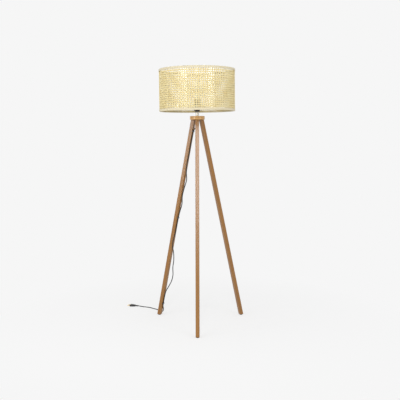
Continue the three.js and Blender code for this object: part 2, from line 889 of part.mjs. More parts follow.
function addBulb() {
  const capRadius = bulbCapDiameter / 2;
  const tipRadius = bulbTipDiameter / 2;
  const inside = bulbNeckDiameter / 2 + gap;
  const cap = turnedRing(
    [
      [tipRadius - bulbCapWall, bulbCapBottom],
      [tipRadius + bulbCapWall, bulbCapBottom],
      [capRadius, bulbCapBottom + bulbNeckInCap],
      [capRadius, bulbCapTop],
      [inside, bulbCapTop],
      [inside, bulbCapBottom + bulbNeckInCap],
      [tipRadius - bulbCapWall, bulbCapBottom + bulbCapWall],
    ],
    smallSides,
  );
  add("bulb_cap", cap, steel);
  const tip = turned(
    [
      [0, bulbTip],
      [tipRadius / 2, bulbTip],
      [tipRadius, bulbCapBottom - gap],
      [0, bulbCapBottom - gap],
    ],
    smallSides,
  );
  add("bulb_tip", tip, brass);
  const outer = glassProfile(0);
  const inner = glassProfile(glassThickness).reverse();
  add("bulb_glass", turned([...outer, ...inner], smallSides), glass);
  add("bulb_filament", filamentGeometry(), phosphor);
}

// Cord and plug
class Stretch extends THREE.Curve {
  constructor(whole, start, end) {
    super();
    this.whole = whole;
    this.start = start;
    this.end = end;
  }

  getPoint(t, target = new THREE.Vector3()) {
    return this.whole.getPoint(THREE.MathUtils.lerp(this.start, this.end, t), target);
  }
}

function addCord() {
  const points = cordRoute.map((place) => new THREE.Vector3(...place));
  const whole = new THREE.CatmullRomCurve3(points, false, "centripetal");
  const section = new THREE.Shape().absarc(0, 0, cordRadius, 0, Math.PI * 2);
  const last = points.length - 1;
  const length = whole.getLength();
  cordStretches.forEach(({ name, from, to, steps }) => {
    const between = from ? gap / length : 0;
    const extrudePath = new Stretch(whole, from / last + between, to / last);
    const options = { steps, extrudePath, curveSegments: cordSides / 2 };
    add(name, closedBody(new THREE.ExtrudeGeometry(section, options)), black);
  });
  addPlug(points[last], whole.getTangent(1));
}

function plugOutline() {
  const root = plugNeckWidth / 2;
  const side = plugWidth / 2;
  const waist = plugLength * plugWaistShare;
  const shape = new THREE.Shape();
  shape.moveTo(0, -root);
  shape.bezierCurveTo(waist, -root, waist, -side, plugLength - plugEdge, -side);
  shape.lineTo(plugLength, plugEdge - side);
  shape.lineTo(plugLength, side - plugEdge);
  shape.lineTo(plugLength - plugEdge, side);
  shape.bezierCurveTo(waist, side, waist, root, 0, root);
  return shape;
}

function addPlug(end, heading) {
  const group = new THREE.Group();
  group.position.set(end.x, end.y, plugThickness / 2);
  group.rotation.z = Math.atan2(heading.y, heading.x);
  lamp.add(group);
  const bodyStart = gap + reliefLength + gap;
  const relief = turned(
    [
      [0, gap],
      [reliefEndDiameter / 2, gap],
      [reliefRootDiameter / 2, gap + reliefLength],
      [0, gap + reliefLength],
    ],
    boltSides,
  ).rotateY(Math.PI / 2);
  add("plug_relief", relief, black, group);
  const pinRoom = pinDiameter / 2 + gap;
  const faceX = bodyStart + plugLength;
  const sides = [-1, 1].map((side) => (side * pinSpacing) / 2);
  const pinHoles = sides.map((y) =>
    cylinder(pinRoom, faceX - pinInBody - gap, faceX + overrun, boltSides)
      .rotateY(Math.PI / 2)
      .translate(0, y, 0),
  );
  const body = extruded(plugOutline(), plugThickness, arcSteps);
  body.translate(bodyStart, 0, -plugThickness / 2);
  add("plug_body", cut(body, ...pinHoles), black, group);
  sides.forEach((y, number) => {
    const radius = pinDiameter / 2;
    const pin = turned(
      [
        [0, faceX - pinInBody],
        [radius, faceX - pinInBody],
        [radius, faceX + pinLength - pinTip],
        [radius - pinTip, faceX + pinLength],
        [0, faceX + pinLength],
      ],
      boltSides,
    );
    add(`plug_pin_${number + 1}`, pin.rotateY(Math.PI / 2).translate(0, y, 0), brass, group);
  });
}

addShade();
addStand();
addStem();
addHolder();
addBulb();
addCord();

export default lamp;
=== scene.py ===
"""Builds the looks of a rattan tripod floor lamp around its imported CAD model."""

import json
import math
import random

import bmesh
import bpy
from bpy.props import FloatProperty, FloatVectorProperty, PointerProperty
from mathutils import Matrix, Vector, noise

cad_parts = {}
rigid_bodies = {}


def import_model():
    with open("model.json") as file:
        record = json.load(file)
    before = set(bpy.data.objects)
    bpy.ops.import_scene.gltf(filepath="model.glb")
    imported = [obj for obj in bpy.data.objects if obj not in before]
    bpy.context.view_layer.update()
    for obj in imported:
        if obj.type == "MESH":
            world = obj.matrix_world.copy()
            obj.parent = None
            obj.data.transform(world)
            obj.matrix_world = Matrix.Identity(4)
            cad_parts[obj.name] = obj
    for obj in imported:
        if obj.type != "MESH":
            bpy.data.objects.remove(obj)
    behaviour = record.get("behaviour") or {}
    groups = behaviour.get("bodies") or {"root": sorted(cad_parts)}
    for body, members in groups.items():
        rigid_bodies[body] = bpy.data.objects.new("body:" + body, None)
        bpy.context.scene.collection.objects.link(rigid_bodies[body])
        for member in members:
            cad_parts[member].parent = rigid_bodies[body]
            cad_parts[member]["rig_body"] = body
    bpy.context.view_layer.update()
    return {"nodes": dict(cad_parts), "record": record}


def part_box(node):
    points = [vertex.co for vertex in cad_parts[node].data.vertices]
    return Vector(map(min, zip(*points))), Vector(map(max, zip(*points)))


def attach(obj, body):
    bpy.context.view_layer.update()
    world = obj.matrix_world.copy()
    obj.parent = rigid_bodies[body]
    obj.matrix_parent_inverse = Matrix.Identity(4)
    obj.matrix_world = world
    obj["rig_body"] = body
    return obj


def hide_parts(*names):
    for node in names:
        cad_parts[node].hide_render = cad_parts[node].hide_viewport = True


bl_info = {
    "name": "Rattan Floor Lamp",
    "version": (1, 0, 0),
    "blender": (4, 5, 0),
    "location": "View3D > Sidebar > Lamp",
    "description": "Dresses the packed model of a tripod floor lamp with a woven cane shade",
    "category": "Object",
}

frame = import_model()
slots = {part["node"]: part["material_slot"] for part in frame["record"]["subparts"]}

MM = 0.001
FULL_TURN = 2 * math.pi
TINY = 1e-7

# Radii of the shade's wires and of the holes for the threaded tube
WIRE = 1.5 * MM
TUBE_HOLE = 5.3 * MM
# The fitter's and the ring nut's holes are this much smaller in radius than the lampholder's flange
HOLDER_STEP = 1.4 * MM


# Places and sizes read from the frame


def low(node):
    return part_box(node)[0]


def high(node):
    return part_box(node)[1]


def middle(node):
    return (low(node) + high(node)) / 2


def radius(node):
    return (high(node).x - low(node).x) / 2


def extent(node):
    """The bottom, the top and the radius of a round piece."""
    return low(node).z, high(node).z, radius(node)


AXIS = Vector((middle("stem").x, middle("stem").y, 0))


def outward(angle):
    return Vector((math.cos(angle), math.sin(angle), 0))


def around(angle, reach, height):
    """A place round the lamp's axis."""
    return AXIS + outward(angle) * reach + Vector((0, 0, height))


# A leg's sizes and lean, worked out from the front leg's box and its pad
FOOT_RADIUS = (middle("foot_pad_front") - AXIS).xy.length
LEG_ACROSS = 2 * (AXIS.y - low("leg_front").y - FOOT_RADIUS)
LEG_TOP_RADIUS = AXIS.y - high("leg_front").y + LEG_ACROSS / 2
LEG_RISE = high("leg_front").z - low("leg_front").z
LEG_WIDTH = high("leg_front").x - low("leg_front").x
LEAN = math.atan2(FOOT_RADIUS - LEG_TOP_RADIUS, LEG_RISE)
# In degrees round the axis
LEG_TURNS = {"front": -90, "back_right": 30, "back_left": 150}

# The camera and the weave's first hole were fitted to the photograph. In metres and radians, and the lens
# in millimetres.
CAMERA_PLACE = Vector((0.1326, -3.62147, 1.13995))
CAMERA_TURN = 0.03315
CAMERA_PITCH = 0.10554
CAMERA_ROLL = -0.00998
CAMERA_LENS = 55.127
CAMERA_SENSOR = 36

# The cord's route from the bush under the hub to the plug, in millimetres from the floor under the stem
CORD_ROUTE = [
    (0, 0, 1230.7), (0, 0, 1219.6), (-1.8, 1, 1206.6), (-8.5, 4.9, 1189.4),
    (-18.2, 10.5, 1174.8), (-24.2, 13.9, 1163), (-29.3, 15.7, 1138.1), (-41.6, 18.2, 1084.4),
    (-54.8, 25.9, 1016.1), (-67.1, 28.3, 962.4), (-70.9, 38.6, 913.1), (-71.3, 51.6, 868.5),
    (-85.8, 54.1, 820.4), (-98.3, 57.9, 772), (-102.7, 68.5, 717.7), (-115.7, 70.3, 674.3),
    (-125.4, 72.4, 636.1), (-135.5, 74.7, 591.6), (-146.8, 79, 537.9), (-159.8, 75, 493.8),
    (-164.5, 82.3, 454.6), (-160.1, 95.9, 409.2), (-160.4, 103.1, 364), (-167.5, 110.6, 314.9),
    (-168.1, 115.5, 264.4), (-178, 118.9, 225.7), (-194.7, 121.7, 193.4), (-213.2, 124.3, 161.4),
    (-224.2, 129.5, 123.1), (-232.7, 134.3, 79.2), (-235.7, 136.5, 61.6), (-234.5, 151.5, 35.5),
    (-243.4, 182.7, 12.4), (-256.6, 211.9, 4.4), (-271.9, 237.3, 3.2), (-288.7, 254.3, 3.2),
    (-317.6, 279.5, 3.2), (-340.3, 298.6, 3.2), (-384, 317.3, 3.4), (-420.4, 327.9, 6.5),
]


def linear(code):
    """The linear colour of an sRGB hex value."""
    channels = [int(code[i : i + 2], 16) / 255 for i in (1, 3, 5)]
    return [c / 12.92 if c <= 0.04045 else ((c + 0.055) / 1.055) ** 2.4 for c in channels]


def opaque(colour):
    return (*colour, 1)


# Sizes and colours that a user would change


def distance_prop(name, description, millimetres):
    return FloatProperty(name=name, description=description, default=millimetres * MM, subtype="DISTANCE")


def colour_prop(name, description, code):
    return FloatVectorProperty(name=name, description=description, default=linear(code), subtype="COLOR")


def strength_prop(name, description, default):
    return FloatProperty(name=name, description=description, default=default, min=0)


def power_prop(name, description, watts):
    return FloatProperty(name=name, description=description, default=watts, min=0, unit="POWER")


class CaneProperties(bpy.types.PropertyGroup):
    holes_round: FloatProperty(
        name="Holes round",
        description="Holes round the drum, with a part of one left where the two ends meet",
        default=105.55,
        min=24,
    )
    first_hole: FloatProperty(
        name="First hole",
        description="Where round the drum the first hole lies",
        default=math.radians(-87.15),
        subtype="ANGLE",
    )
    top_hole: distance_prop("Top hole", "How far the first full row of holes lies below the drum's top", 53)
    hole_pitch: distance_prop("Hole pitch", "Height of one cell of the weave", 12.56)
    strand_width: distance_prop("Strand width", "Width of a strand", 2.5)
    pair_spacing: distance_prop("Pair spacing", "From one strand of a pair to the other", 2.65)
    wall: distance_prop("Wall", "Thickness of the weave, which is three strands", 1.5)
    pale: colour_prop("Pale skin", "Palest strands", "#F1E4B0")
    dark: colour_prop("Dark skin", "Darkest strands", "#E2CA89")
    film_inset: distance_prop("Film inset", "From the weave's outside to the clear sheet's inside", 2.1)
    film_thickness: distance_prop("Film thickness", "Thickness of the clear sheet behind the weave", 0.3)


class ShadeProperties(bpy.types.PropertyGroup):
    tape: colour_prop("Tape", "Colour of the bindings", "#E6DAB8")
    tape_thickness: distance_prop("Tape thickness", "Thickness of the folded binding tape", 1.1)
    lining_height: distance_prop("Lining height", "How far the tape reaches on the inside", 4.5)


class WoodProperties(bpy.types.PropertyGroup):
    pale: colour_prop("Pale wood", "Legs between the pores", "#A27239")
    dark: colour_prop("Dark wood", "Legs along the pores", "#8E6230")
    hub_pale: colour_prop("Pale hub", "Hub between the pores", "#E2B270")
    hub_dark: colour_prop("Dark hub", "Hub along the pores", "#C29052")
    edge: distance_prop("Leg edge", "Rounding of the legs' long edges", 1)


class CordProperties(bpy.types.PropertyGroup):
    diameter: distance_prop("Cord diameter", "Diameter of the sheath", 5.5)
    sheath: colour_prop("Sheath", "Colour of the cord's sheath", "#141312")


class StageProperties(bpy.types.PropertyGroup):
    backdrop: colour_prop("Backdrop", "Colour of the floor and wall", "#F6F6F6")
    bounce: strength_prop("Bounce", "How much light the floor throws back up", 0.75)
    ambient: strength_prop("Ambient", "Strength of the room's even light", 0.57)
    dome: strength_prop("Dome", "Strength of the wide soft light over the front", 0.24)
    left_power: power_prop("Left box", "Power of the box at the left", 9)
    strip_power: power_prop("Left strip", "Power of the strip at the far left", 9)
    right_power: power_prop("Right box", "Power of the box at the right", 11)
    front_power: power_prop("Front box", "Power of the tall box over the camera", 66)


# Mesh tools


def rounded(outline, steps=4):
    """The points of a closed outline of (x, y, rounding), with each corner rounded as it says."""
    made = []
    for i, (x, y, size) in enumerate(outline):
        here = Vector((x, y))
        if not size:
            made.append(here)
            continue
        ways = [Vector(outline[i - 1][:2]) - here, Vector(outline[(i + 1) % len(outline)][:2]) - here]
        reach = min(size, *(way.length * 0.49 for way in ways))
        start, end = (here + way.normalized() * reach for way in ways)
        for step in range(steps + 1):
            t = step / steps
            made.append(start * (1 - t) ** 2 + here * 2 * t * (1 - t) + end * t**2)
    return made


def shaded(mesh, sharp=40):
    """Shades a mesh smooth, apart from edges that turn by more degrees than this."""
    mesh.shade_smooth()
    mesh.set_sharp_from_angle(angle=math.radians(sharp))
    return mesh


def finished(mesh, sharp=40):
    """Welds a mesh, turns its faces out and shades it."""
    bm = bmesh.new()
    bm.from_mesh(mesh)
    bmesh.ops.remove_doubles(bm, verts=bm.verts, dist=TINY)
    bmesh.ops.dissolve_degenerate(bm, edges=bm.edges, dist=TINY)
    bmesh.ops.recalc_face_normals(bm, faces=bm.faces)
    bm.to_mesh(mesh)
    bm.free()
    return shaded(mesh, sharp)


def ring_faces(count, rings, first=0):
    """The side faces between rings of points, with count points to a ring."""
    made = []
    for start in range(first, first + count * (rings - 1), count):
        for side in range(count):
            after = (side + 1) % count
            made.append((start + side, start + after, start + count + after, start + count + side))
    return made


def tube(name, points, count):
    """A mesh through rings of points, with count points to a ring and flat ends."""
    faces = [list(range(count)), list(range(len(points) - count, len(points)))]
    mesh = bpy.data.meshes.new(name)
    mesh.from_pydata(points, [], faces + ring_faces(count, len(points) // count))
    return mesh


def collar(inner, outer, bottom, top, inner_edge, outer_edge):
    """The outline of a plain ring, with its edges rounded."""
    corners = [(inner, bottom, inner_edge), (outer, bottom, outer_edge), (outer, top, outer_edge)]
    return rounded([*corners, (inner, top, inner_edge)])


def turned(outline, sides=96, ripple=None, place=None, start=0, turn=FULL_TURN, sharp=40):
    """A mesh turned about Z from a closed outline of radius and height. ripple moves a point in or out."""
    whole = turn >= FULL_TURN
    columns = sides if whole else sides + 1
    points = []
    for column in range(columns):
        angle = start + turn * column / sides
        for r, z in outline:
            reach = r + ripple(angle, r, z) if ripple and r > 0 else r
            points.append((reach * math.cos(angle), reach * math.sin(angle), z))
    count = len(outline)
    faces = []
    for column in range(sides):
        after = (column + 1) % columns
        for row in range(count):
            up = (row + 1) % count
            corners = ((column, row), (after, row), (after, up), (column, up))
            faces.append([c * count + r for c, r in corners])
    if not whole:
        faces += [list(range(count)), list(range((columns - 1) * count, columns * count))]
    mesh = bpy.data.meshes.new("turned")
    mesh.from_pydata(points, [], faces)
    mesh.transform(place or Matrix.Translation(AXIS))
    return finished(mesh, sharp)


def swept(path, section):
    """A mesh that carries a closed section of (across, up) points along a path, with flat ends."""
    across = Vector((0, 0, 1)).cross(path[1] - path[0])
    across = across.normalized() if across.length > TINY else Vector((1, 0, 0))
    points = []
    for i, here in enumerate(path):
        way = (path[min(i + 1, len(path) - 1)] - path[max(i - 1, 0)]).normalized()
        across = (across - way * across.dot(way)).normalized()
        up = way.cross(across)
        points += [here + across * x + up * y for x, y in section]
    return finished(tube("swept", points, len(section)))


def circle(size, sides):
    angles = [FULL_TURN * i / sides for i in range(sides)]
    return [(size * math.cos(angle), size * math.sin(angle)) for angle in angles]


def softened(node, edge):
    """A copy of a CAD piece's mesh with its sharp edges rounded."""
    bm = bmesh.new()
    bm.from_mesh(frame["nodes"][node].data)
    bmesh.ops.remove_doubles(bm, verts=bm.verts, dist=TINY)
    bmesh.ops.dissolve_limit(bm, angle_limit=math.radians(1), verts=bm.verts, edges=bm.edges)
    sharp = [e for e in bm.edges if len(e.link_faces) == 2 and e.calc_face_angle() > math.radians(35)]
    bmesh.ops.bevel(bm, geom=sharp, offset=edge, segments=2, profile=0.5, affect="EDGES", clamp_overlap=True)
    mesh = bpy.data.meshes.new(node)
    bm.to_mesh(mesh)
    bm.free()
    return finished(mesh)


def piece(name, mesh, slot, body, *nodes):
    """Adds a piece with its finish, makes it ride on a body and hides the CAD nodes that it stands for."""
    made = bpy.data.objects.new(name, mesh)
    bpy.context.scene.collection.objects.link(made)
    mesh.materials.append(finish(slot))
    if slot not in ("cane", "cord_sheath"):
        # Flat faces shade flat, and only the roundings between them shade round. The weave and the cord
        # have no flat faces.
        made.modifiers.new("Flat faces", "WEIGHTED_NORMAL").keep_sharp = True
    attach(made, body)
    if nodes:
        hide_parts(*nodes)
    return made


def detailed(node, mesh, ending="fine"):
    """Replaces a CAD node by a finer mesh with the node's own finish and body."""
    return piece(f"{node}.{ending}", mesh, slots[node], frame["nodes"][node]["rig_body"], node)


def dressed(*nodes):
    """Gives CAD nodes that stay their finish."""
    for node in nodes:
        for place in frame["nodes"][node].material_slots:
            place.material = finish(slots[node])


# Finishes


def put(tree, kind, inputs=None, **settings):
    """Adds a node, sets it, and sets or links its sockets."""
    made = tree.nodes.new(kind)
    for name, value in settings.items():
        setattr(made, name, value)
    for socket, value in (inputs or {}).items():
        if isinstance(value, bpy.types.NodeSocket):
            tree.links.new(value, made.inputs[socket])
        else:
            made.inputs[socket].default_value = value
    return made


def blank(name):
    """A new material with an empty tree, and the tree."""
    made = bpy.data.materials.new(name)
    made.use_nodes = True
    made.node_tree.nodes.clear()
    return made, made.node_tree


def surfaced(made, inputs):
    """Ends a material's tree in a shader with these sockets."""
    shader = put(made.node_tree, "ShaderNodeBsdfPrincipled", inputs)
    put(made.node_tree, "ShaderNodeOutputMaterial", {"Surface": shader.outputs["BSDF"]})
    return made


def grained(tree, spacing, stretch=(1, 1, 1), detail=3, source=None):
    """Noise of one real spacing in metres, on the piece's own coordinates, and stretched along an axis."""
    if source is None:
        source = put(tree, "ShaderNodeTexCoord").outputs["Object"]
    scaled = put(tree, "ShaderNodeMapping", {"Vector": source, "Scale": stretch})
    inputs = {"Vector": scaled.outputs["Vector"], "Scale": 1 / spacing, "Detail": detail, "Roughness": 0.55}
    return put(tree, "ShaderNodeTexNoise", inputs).outputs["Fac"]


def ramped(tree, factor, start, end, first, last):
    """A colour that runs from one to another between two values of a factor."""
    share = put(tree, "ShaderNodeMapRange", {"Value": factor, "From Min": start, "From Max": end})
    inputs = {"Factor": share.outputs["Result"], "A": opaque(first), "B": opaque(last)}
    return put(tree, "ShaderNodeMix", inputs, data_type="RGBA").outputs[2]


def raised(tree, height, distance):
    """Normals over a pattern that stands this far out, in metres."""
    inputs = {"Height": height, "Distance": distance, "Strength": 1}
    return put(tree, "ShaderNodeBump", inputs).outputs["Normal"]


def varied(tree, factor, start, end):
    """A value that runs from one to another with a pattern."""
    inputs = {"Value": factor, "From Min": 0.3, "From Max": 0.7, "To Min": start, "To Max": end}
    return put(tree, "ShaderNodeMapRange", inputs).outputs["Result"]


def rattan_skin():
    """Split rattan keeps its hard waxy skin: a soft shine, a tone that drifts along each strand and
    differs from one to the next, and fine fibres."""
    cane = bpy.context.scene.lamp_cane
    made, tree = blank("Rattan cane skin")
    tone = put(tree, "ShaderNodeAttribute", attribute_name="tone").outputs["Fac"]
    drift = grained(tree, 9 * MM, detail=4)
    mixed = put(tree, "ShaderNodeMath", {0: tone, 1: drift}, operation="ADD").outputs[0]
    colour = ramped(tree, mixed, 0.55, 1.45, cane.pale, cane.dark)
    fibres = grained(tree, 0.6 * MM, detail=2)
    inputs = {
        "Base Color": colour,
        "Roughness": varied(tree, drift, 0.42, 0.52),
        "IOR": 1.5,
        "Normal": raised(tree, fibres, 0.02 * MM),
    }
    return surfaced(made, inputs)


def clear_film():
    """Clear PVC sheet, calendered: it shows only as a faint gloss where its two faces throw back a light."""
    made, tree = blank("PVC sheet, clear")
    waves = grained(tree, 60 * MM, detail=1)
    # The alpha is the share of light that its faces throw back, and the rest goes straight through
    inputs = {
        "Base Color": (1, 1, 1, 1),
        "Metallic": 1,
        "Roughness": varied(tree, waves, 0.14, 0.18),
        "Alpha": 0.045,
    }
    return surfaced(made, inputs)


def cotton_tape():
    """Cream cotton tape, plain woven: matte and slightly fuzzy."""
    made, tree = blank("Cotton binding tape")
    base = bpy.context.scene.lamp_shade.tape
    place = put(tree, "ShaderNodeTexCoord").outputs["Object"]
    # Real threads are finer: these are drawn coarser, so that they show
    thread_spacing, bands_to_a_unit = 1.5 * MM, 3
    scale = 1 / thread_spacing / bands_to_a_unit
    wave = {"Vector": place, "Scale": scale, "Distortion": 0.6, "Detail": 1}
    threads = put(tree, "ShaderNodeTexWave", wave, bands_direction="Z").outputs["Fac"]
    worn = grained(tree, 20 * MM)
    # The darker colour is painted shade between the threads, and also darker wear where the worn noise is low
    thread_shade_and_wear = [0.86 * c for c in base]
    both = put(tree, "ShaderNodeMath", {0: threads, 1: worn}, operation="ADD").outputs[0]
    inputs = {
        "Base Color": ramped(tree, both, 0.5, 1.4, thread_shade_and_wear, base),
        "Roughness": 0.85,
        "Sheen Weight": 0.2,
        "Sheen Roughness": 0.5,
        "Normal": raised(tree, threads, 0.1 * MM),
    }
    return surfaced(made, inputs)


def lacquered_wood(name, pale, dark):
    """Hardwood, clear lacquered: long darker pores along the grain under a satin shine. Real pores are
    finer, and these are drawn coarser, so that they show."""
    made, tree = blank(name)
    grain = put(tree, "ShaderNodeAttribute", attribute_name="grain").outputs["Vector"]
    figure = grained(tree, 7 * MM, (1, 1, 0.035), 5, grain)
    pores = grained(tree, 1.4 * MM, (1, 1, 0.02), 3, grain)
    mixed = put(tree, "ShaderNodeMath", {0: figure, 1: pores}, operation="ADD").outputs[0]
    inputs = {
        "Base Color": ramped(tree, mixed, 0.75, 1.3, dark, pale),
        "Roughness": varied(tree, pores, 0.27, 0.21),
        "IOR": 1.5,
        "Normal": raised(tree, pores, 0.05 * MM),
    }
    return surfaced(made, inputs)


def planed_leg_wood():
    """The legs: straight grain along each, and a warm brown."""
    wood = bpy.context.scene.lamp_wood
    return lacquered_wood("Lacquered hardwood, planed", wood.pale, wood.dark)


def turned_hub_wood():
    """The hub: grain across the disc, and paler than the legs."""
    wood = bpy.context.scene.lamp_wood
    return lacquered_wood("Lacquered hardwood, turned", wood.hub_pale, wood.hub_dark)


def plain(name, base, roughness, spacing, depth, sockets=None):
    """A solid finish with the slight unevenness that its making leaves, spaced and deep in millimetres."""
    made, tree = blank(name)
    uneven = grained(tree, spacing * MM)
    inputs = {
        "Base Color": ramped(tree, uneven, 0.3, 0.7, [0.93 * c for c in base], base),
        "Roughness": varied(tree, uneven, roughness * 0.85, roughness * 1.15),
        "Normal": raised(tree, uneven, depth * MM),
        **(sockets or {}),
    }
    return surfaced(made, inputs)


def sheath():
    """Smooth black PVC, extruded: an even soft shine."""
    colour = bpy.context.scene.lamp_cord.sheath
    return plain("PVC sheath, extruded black", colour, 0.42, 6, 0.03, {"IOR": 1.53})


def blown_glass():
    """Blown clear glass: smooth, with slow waves that bend what is behind it."""
    made, tree = blank("Glass, blown clear")
    waves = grained(tree, 25 * MM, detail=1)
    inputs = {
        "Base Color": opaque(linear("#F8FBFA")),
        "Roughness": varied(tree, waves, 0, 0.02),
        "IOR": 1.5,
        "Transmission Weight": 1,
        "Normal": raised(tree, waves, 0.05 * MM),
    }
    return surfaced(made, inputs)


METAL = {"Metallic": 1}

# Each solid finish's name, colour, roughness, spacing and depth of unevenness, and other sockets
PLAIN_FINISHES = {
    # Deep black with a soft shine and faint flow marks
    "black_plastic": ("Phenolic, moulded black", "#1A1918", 0.36, 3, 0.02, {"IOR": 1.6}),
    # Dark and matte
    "foot_rubber": ("Rubber, moulded brown", "#3A2F27", 0.8, 2, 0.05, {"IOR": 1.52}),
    # Pale grey, slightly clouded
    "steel": ("Steel, zinc plated", "#B4B6B8", 0.32, 2, 0.01, METAL),
    # Warm yellow, dulled by handling
    "brass": ("Brass, turned", "#C9A85C", 0.28, 2, 0.01, METAL),
    # Warm grey plate on a brushed tube, with a soft blurred shine
    "chrome": ("Nickel plate, satin", "#C8C3B8", 0.26, 4, 0.004, METAL),
    # Satin white with a fine orange peel
    "white_enamel": ("Powder coat, white", "#EFEADB", 0.42, 1.2, 0.03, {"IOR": 1.5}),
    # Even soft shine, as on all extruded insulation
    "blue_insulation": ("PVC, extruded blue", "#2F62A8", 0.4, 3, 0.01),
    "brown_insulation": ("PVC, extruded brown", "#6B3F22", 0.4, 3, 0.01),
    # White, glossy and very slightly wavy
    "porcelain": ("Porcelain, glazed", "#F1EFE8", 0.16, 5, 0.02, {"Coat Weight": 0.5}),
    # Bright and slightly dull
    "bulb_cap_metal": ("Aluminium, rolled", "#CBCBC8", 0.3, 2, 0.01, METAL),
    # Matte and slightly lumpy gel over the light rods
    "filament": ("Phosphor gel, yellow", "#E8C25A", 0.6, 2, 0.05),
}
OTHER_FINISHES = {
    "cane": rattan_skin,
    "binding_tape": cotton_tape,
    "leg_wood": planed_leg_wood,
    "hub_wood": turned_hub_wood,
    "cord_sheath": sheath,
    "clear_glass": blown_glass,
}
made_finishes = {}


def finish(slot):
    """The material of a slot, made the first time that it is asked for."""
    if slot not in made_finishes:
        if slot in OTHER_FINISHES:
            made_finishes[slot] = OTHER_FINISHES[slot]()
        else:
            name, code, *more = PLAIN_FINISHES[slot]
            made_finishes[slot] = plain(name, linear(code), *more)
    return made_finishes[slot]


# Camera and cord


class LAMP_OT_camera(bpy.types.Operator):
    """Place the camera where the photograph was taken"""

    bl_idname = "lamp.camera"
    bl_label = "Camera"

    def execute(self, context):
        data = bpy.data.cameras.new("Camera")
        data.lens = CAMERA_LENS
        data.sensor_width = CAMERA_SENSOR
        camera = bpy.data.objects.new("Camera", data)
        context.scene.collection.objects.link(camera)
        turn = Matrix.Rotation(CAMERA_TURN, 4, "Z")
        pitch = Matrix.Rotation(math.pi / 2 - CAMERA_PITCH, 4, "X")
        roll = Matrix.Rotation(CAMERA_ROLL, 4, "Z")
        camera.matrix_world = Matrix.Translation(CAMERA_PLACE) @ turn @ pitch @ roll
        context.scene.camera = camera
        return {"FINISHED"}


def through(points, spacing):
    """Points about a spacing apart on the centripetal curve through a route's points."""
    ends = [points[0] * 2 - points[1], *points, points[-1] * 2 - points[-2]]
    made = []
    for i in range(len(points) - 1):
        a, b, c, d = ends[i : i + 4]
        before, along, after = ((q - p).length ** 0.5 for p, q in ((a, b), (b, c), (c, d)))
        leave = ((b - a) / before - (c - a) / (before + along) + (c - b) / along) * along
        arrive = ((c - b) / along - (d - b) / (along + after) + (d - c) / after) * along
        steps = max(2, round((c - b).length / spacing))
        for step in range(steps):
            t = step / steps
            third = (b - c) * 2 + leave + arrive
            second = (c - b) * 3 - leave * 2 - arrive
            made.append(b + leave * t + second * t**2 + third * t**3)
    return [*made, points[-1]]


def cord_points():
    """The middle line of the cord."""
    return through([Vector(place) * MM + AXIS for place in CORD_ROUTE], 4 * MM)


class LAMP_OT_cord(bpy.types.Operator):
    """Lay the cord from the hub to its plug"""

    bl_idname = "lamp.cord"
    bl_label = "Cord"

    def execute(self, context):
        diameter = context.scene.lamp_cord.diameter
        points = cord_points()
        curve = bpy.data.curves.new("cord", "CURVE")
        curve.dimensions = "3D"
        curve.bevel_depth = diameter / 2
        curve.bevel_resolution = 4
        curve.use_fill_caps = True
        spline = curve.splines.new("POLY")
        spline.points.add(len(points) - 1)
        for point, place in zip(spline.points, points):
            point.co = (*place, 1)
        spline.use_smooth = True
        solids = ("cord_top", "cord_upper", "cord_lower", "cord_floor")
        cord = piece("cord", curve, "cord_sheath", "stand", *solids)
        relief = piece("cord_relief", relief_mesh(points), "black_plastic", "stand", "plug_relief")
        plug = piece("plug", plug_mesh(points), "black_plastic", "stand", "plug_body")
        pins = [detailed(node, softened(node, 0.3 * MM)) for node in ("plug_pin_1", "plug_pin_2")]
        dressed("cord_in_tube", "core_neutral", "core_live")
        detailed("cord_bush", bush_mesh(diameter))
        return {"FINISHED"}


def plug_place(points):
    """The plug's frame: X runs from the cord's end to the pins, at the height of the plug's middle."""
    way = points[-1] - points[-2]
    place = Vector((points[-1].x, points[-1].y, middle("plug_body").z))
    return Matrix.Translation(place) @ Matrix.Rotation(math.atan2(way.y, way.x), 4, "Z")


def relief_mesh(points):
    """A tapered strain relief, with five grooves round it that let it bend."""
    gap, length, grooves = 0.3 * MM, 22 * MM, 5
    thin, thick, depth = 3.75 * MM, 5 * MM, 0.9 * MM
    lip = 0.4 * MM
    outline = [Vector((0, gap)), Vector((thin - lip, gap))]
    steps = grooves * 6
    for step in range(steps + 1):
        share = step / steps
        # The grooves stay off both ends
        wave = math.cos(share * grooves * FULL_TURN)
        cut = depth if wave < -0.3 and 0.1 < share < 0.95 else 0
        reach = thin + (thick - thin) * share - cut
        outline.append(Vector((reach, gap + lip + (length - lip) * share)))
    outline.append(Vector((0, gap + length)))
    place = plug_place(points) @ Matrix.Rotation(math.pi / 2, 4, "Y")
    return turned(outline, 32, place=place, sharp=50)


def plug_mesh(points):
    """The plug's body: narrow and round at the cord, wide and flat-faced at the pins, with a shoulder."""
    start, length = 22.6 * MM, 34 * MM
    thickness = high("plug_body").z - low("plug_body").z
    width = 33 * MM
    width_shares = [
        (0, 0.42), (0.04, 0.47), (0.3, 0.55), (0.55, 0.78),
        (0.75, 0.95), (0.9, 1), (0.97, 0.99), (1, 0.94),
    ]
    sides, squareness = 40, 0.55
    points_made = []
    for along, wide in width_shares:
        # A little thinner towards the cord, and eased round the face with the pins
        deep = 0.86 + 0.14 * min(1, along / 0.3) if along < 0.97 else 0.93
        for side in range(sides):
            angle = FULL_TURN * side / sides
            x, y = math.cos(angle), math.sin(angle)
            across = math.copysign(abs(x) ** squareness, x) * width * wide / 2
            up = math.copysign(abs(y) ** squareness, y) * thickness * deep / 2
            points_made.append(Vector((start + length * along, across, up)))
    mesh = tube("plug", points_made, sides)
    mesh.transform(plug_place(points))
    return finished(mesh, 35)


